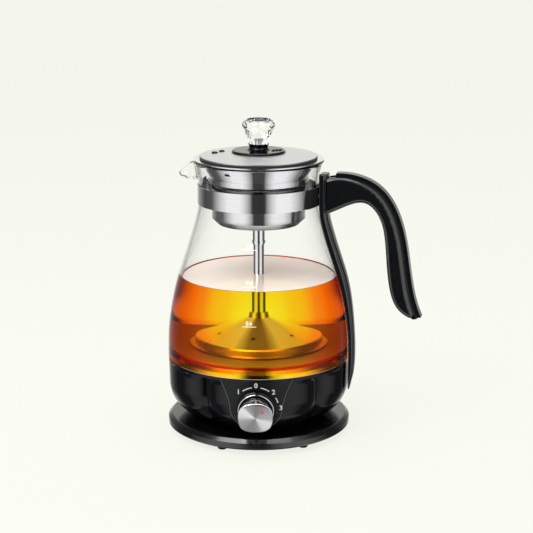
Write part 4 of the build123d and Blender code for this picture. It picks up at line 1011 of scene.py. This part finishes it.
def on_panel_face(x, z):
    """The point of the panel's face at a height, x to the right."""
    return on_panel(x, z, PANEL_PROUD + LINE_PROUD)


print_on("dial_scale", dial_shapes(), on_dial, "ink")
print_on("panel_line", [panel_line_shape()], on_panel_face, "line_ink")
print_on("level_marks", level_shapes(), on_glass, "level_ink")

# ================================================================ lid details and crystal
DOME_TOP = 229.15
DOME_R = 363.4
ESCUTCHEON_TOP = 230.45
VENTS = [(-35.0, 1.0, 2.2), (-29.6, 5.6, 2.0)]  # place and radius


def dome_z(x, y):
    """Height of the lid's domed disc at a place."""
    return DOME_TOP - DOME_R + sqrt(DOME_R**2 - x * x - y * y)


# painted shade: dark cups set into the vents so that they look dark inside
for i, (x, y, radius) in enumerate(VENTS):
    name, height = f"vent_painted_shade_{i + 1}", dome_z(x, y)
    profile = [(0, -1.5), (radius - 0.1, -1.5), (radius + 0.25, -1.2), (radius + 0.3, 0.6)]
    profile += [(radius, 0.95), (radius - 0.3, -0.7), (0, -0.8)]
    mesh = revolved(name, [(r, height + z) for r, z in profile], 40)
    mesh.transform(Matrix.Translation((x * MM, y * MM, 0)))
    add_piece(name, mesh, "lid", ["silicone_black"])

LOUVRE_BARS = 3
LOUVRE_FIRST = (12.0, -3.6)
LOUVRE_STEP = (2.6, 1.0)
LOUVRE_LEAN = radians(28)
LOUVRE_HALF_LENGTH = 3.2
LOUVRE_HALF_WIDTH = 0.8
LOUVRE_HEIGHT = 1.25


def louvre_mesh():
    """Slim bars with rounded backs on the black disc under the knob."""
    bm = bmesh.new()
    lengthwise = Vector((sin(LOUVRE_LEAN), cos(LOUVRE_LEAN), 0))
    across = Vector((cos(LOUVRE_LEAN), -sin(LOUVRE_LEAN), 0))
    for i in range(LOUVRE_BARS):
        x, y = (first + step * i for first, step in zip(LOUVRE_FIRST, LOUVRE_STEP))
        start = Vector((x, y, ESCUTCHEON_TOP - 0.3))
        sections = []
        for k in range(7):
            t = -1 + 2 * k / 6
            taper = sqrt(max(0.05, 1 - t**4))
            middle = start + lengthwise * t * LOUVRE_HALF_LENGTH
            section = []
            for m in range(9):
                a = pi * m / 8
                back = Vector((0, 0, sin(a) * LOUVRE_HEIGHT * taper))
                offset = across * cos(a) * LOUVRE_HALF_WIDTH * taper + back
                section.append(bm.verts.new((middle + offset) * MM))
            sections.append(section)
        for low, high in zip(sections, sections[1:]):
            for m in range(8):
                bm.faces.new((low[m], low[m + 1], high[m + 1], high[m]))
        bm.faces.new(sections[0])
        bm.faces.new(sections[-1][::-1])
    return finished(bm, "louvre", 60)


add_piece("louvre", louvre_mesh(), "lid", ["base_gloss"])

CRYSTAL_LOW = 235.6
CRYSTAL_HEIGHT = 19.4
CRYSTAL_FACETS = 12
# share of the height, and radius
CRYSTAL_RINGS = [(0.0, 7.5), (0.34, 9.9), (0.66, 12.8), (0.79, 13.5), (0.92, 12.1), (1.0, 9.7)]
DISH_R = 8.3
DISH_DEPTH = 1.5


def crystal_mesh():
    """A cut knob: rings of facets, each ring half a facet round from the last."""
    bm = bmesh.new()

    def ring(level, radius, height):
        turns = [2 * pi * (i + 0.5 * (level % 2)) / CRYSTAL_FACETS for i in range(CRYSTAL_FACETS)]
        return [bm.verts.new(Vector(polar(radius, a, CRYSTAL_LOW + height)) * MM) for a in turns]

    rings = [ring(j, r, share * CRYSTAL_HEIGHT) for j, (share, r) in enumerate(CRYSTAL_RINGS)]
    sides = [(i, (i + 1) % CRYSTAL_FACETS) for i in range(CRYSTAL_FACETS)]
    for j, (low, high) in enumerate(zip(rings, rings[1:])):
        for i, k in sides:
            if j % 2 == 0:
                bm.faces.new((low[i], low[k], high[i]))
                bm.faces.new((low[k], high[k], high[i]))
            else:
                bm.faces.new((low[i], low[k], high[k]))
                bm.faces.new((low[i], high[k], high[i]))
    dish = ring(len(rings) - 1, DISH_R, CRYSTAL_HEIGHT - DISH_DEPTH)
    for i, k in sides:
        bm.faces.new((rings[-1][i], rings[-1][k], dish[k], dish[i]))
    bm.faces.new(dish)
    bm.faces.new(rings[0][::-1])
    mesh = finished(bm, "crystal", 1)
    mesh.polygons.foreach_set("use_smooth", [False] * len(mesh.polygons))
    return mesh


add_piece("crystal", crystal_mesh(), "lid", ["crystal"], ["crystal_knob"])

# ================================================================ surroundings
BACKGROUND = (0.93, 0.945, 0.865)
PLAIN_LEVEL = 0.75  # of the world for diffuse light
# brightness of the studio by degrees from the front: a dark strip between bright sides
FRONT = [(0, 0.03), (12, 0.03), (16, 0.35), (26, 0.8), (36, 1.08), (60, 1.05)]
MIRRORED = FRONT + [
    (74, 0.75), (88, 0.34), (97, 0.1), (120, 0.07), (132, 0.2), (150, 0.4), (166, BACKGROUND),
]
# light that is only bent, not mirrored, sees the plain background from the sides on
BENT = FRONT + [(74, 0.92), (100, 0.82), (125, 0.82), (150, BACKGROUND)]
# below the studio's walls, and straight down
BELOW = [(0, 0.95), (55, 0.9), (80, 0.12), (125, 0.1), (150, BACKGROUND)]
UNDER = [(0, 0.04), (36, 0.05), (46, 0.9), (104, 0.9), (116, 0.17), (180, 0.25)]


def studio():
    """Even light for plain surfaces, and dark and bright sides for what mirrors or bends it."""
    world = bpy.data.worlds.new("studio")
    scene.world = world
    world.use_nodes = True
    n = Nodes(world.node_tree)

    def backdrop(colour, strength=1.0):
        return n.add("ShaderNodeBackground", {"Color": colour, "Strength": strength}).outputs[0]

    axes = n.axes(n.add("ShaderNodeTexCoord").outputs["Generated"])
    aside = n.aside(axes, CAMERA_TURN)
    rays = n.add("ShaderNodeLightPath").outputs
    only_bent = n.math("LESS_THAN", rays["Glossy Depth"], 0.5)
    level = n.blend(only_bent, n.ramp_aside(aside, MIRRORED), n.ramp_aside(aside, BENT))
    downward = n.share(axes["Z"], sin(radians(-23)), sin(radians(-27)))
    straight_down = n.share(axes["Z"], sin(radians(-50)), sin(radians(-58)))
    seen = n.blend(downward, level, n.ramp_aside(aside, BELOW))
    seen = n.blend(straight_down, seen, n.ramp_aside(aside, UNDER))
    mirrored = n.math("MAXIMUM", rays["Is Glossy Ray"], rays["Is Transmission Ray"])
    mixed = n.mix(mirrored, backdrop((1, 1, 1, 1), PLAIN_LEVEL), backdrop(seen))
    mixed = n.mix(rays["Is Camera Ray"], mixed, backdrop((*BACKGROUND, 1)))
    n.add("ShaderNodeOutputWorld", {"Surface": mixed})


def lay_floor():
    """Paper that takes shadows and nearly vanishes in the background."""
    bpy.ops.mesh.primitive_plane_add(size=30, location=(0, 0, 0))
    floor = bpy.context.object
    floor.name = "floor"
    n = material("floor")
    paper = n.add("ShaderNodeBsdfDiffuse", {"Color": (*[c * 0.95 for c in BACKGROUND], 1)})
    glow = n.add("ShaderNodeEmission", {"Color": (*BACKGROUND, 1), "Strength": 1.0})
    camera_ray = n.add("ShaderNodeLightPath").outputs["Is Camera Ray"]
    faded = n.mix(n.math("MULTIPLY", camera_ray, 0.88), paper.outputs[0], glow.outputs[0])
    n.add("ShaderNodeOutputMaterial", {"Surface": faded})
    floor.data.materials.append(surfaces["floor"])
    floor.visible_glossy = False
    floor.visible_transmission = False


def softbox(name, azimuth, elevation, distance, size, power):
    """A square area lamp aimed at the jug's middle, in degrees, metres and watts."""
    data = bpy.data.lights.new(name, "AREA")
    data.size = size
    data.energy = power
    lamp = bpy.data.objects.new(name, data)
    e = radians(elevation)
    aim = Vector((0, 0, 0.12))
    lamp.location = aim + distance * Vector(polar(cos(e), radians(azimuth), sin(e)))
    lamp.rotation_euler = (lamp.location - aim).to_track_quat("Z", "Y").to_euler()
    scene.collection.objects.link(lamp)


studio()
lay_floor()
softbox("key_lamp", -40, 50, 1.3, 0.9, 9)
softbox("top_lamp", 20, 85, 1.2, 1.0, 6)
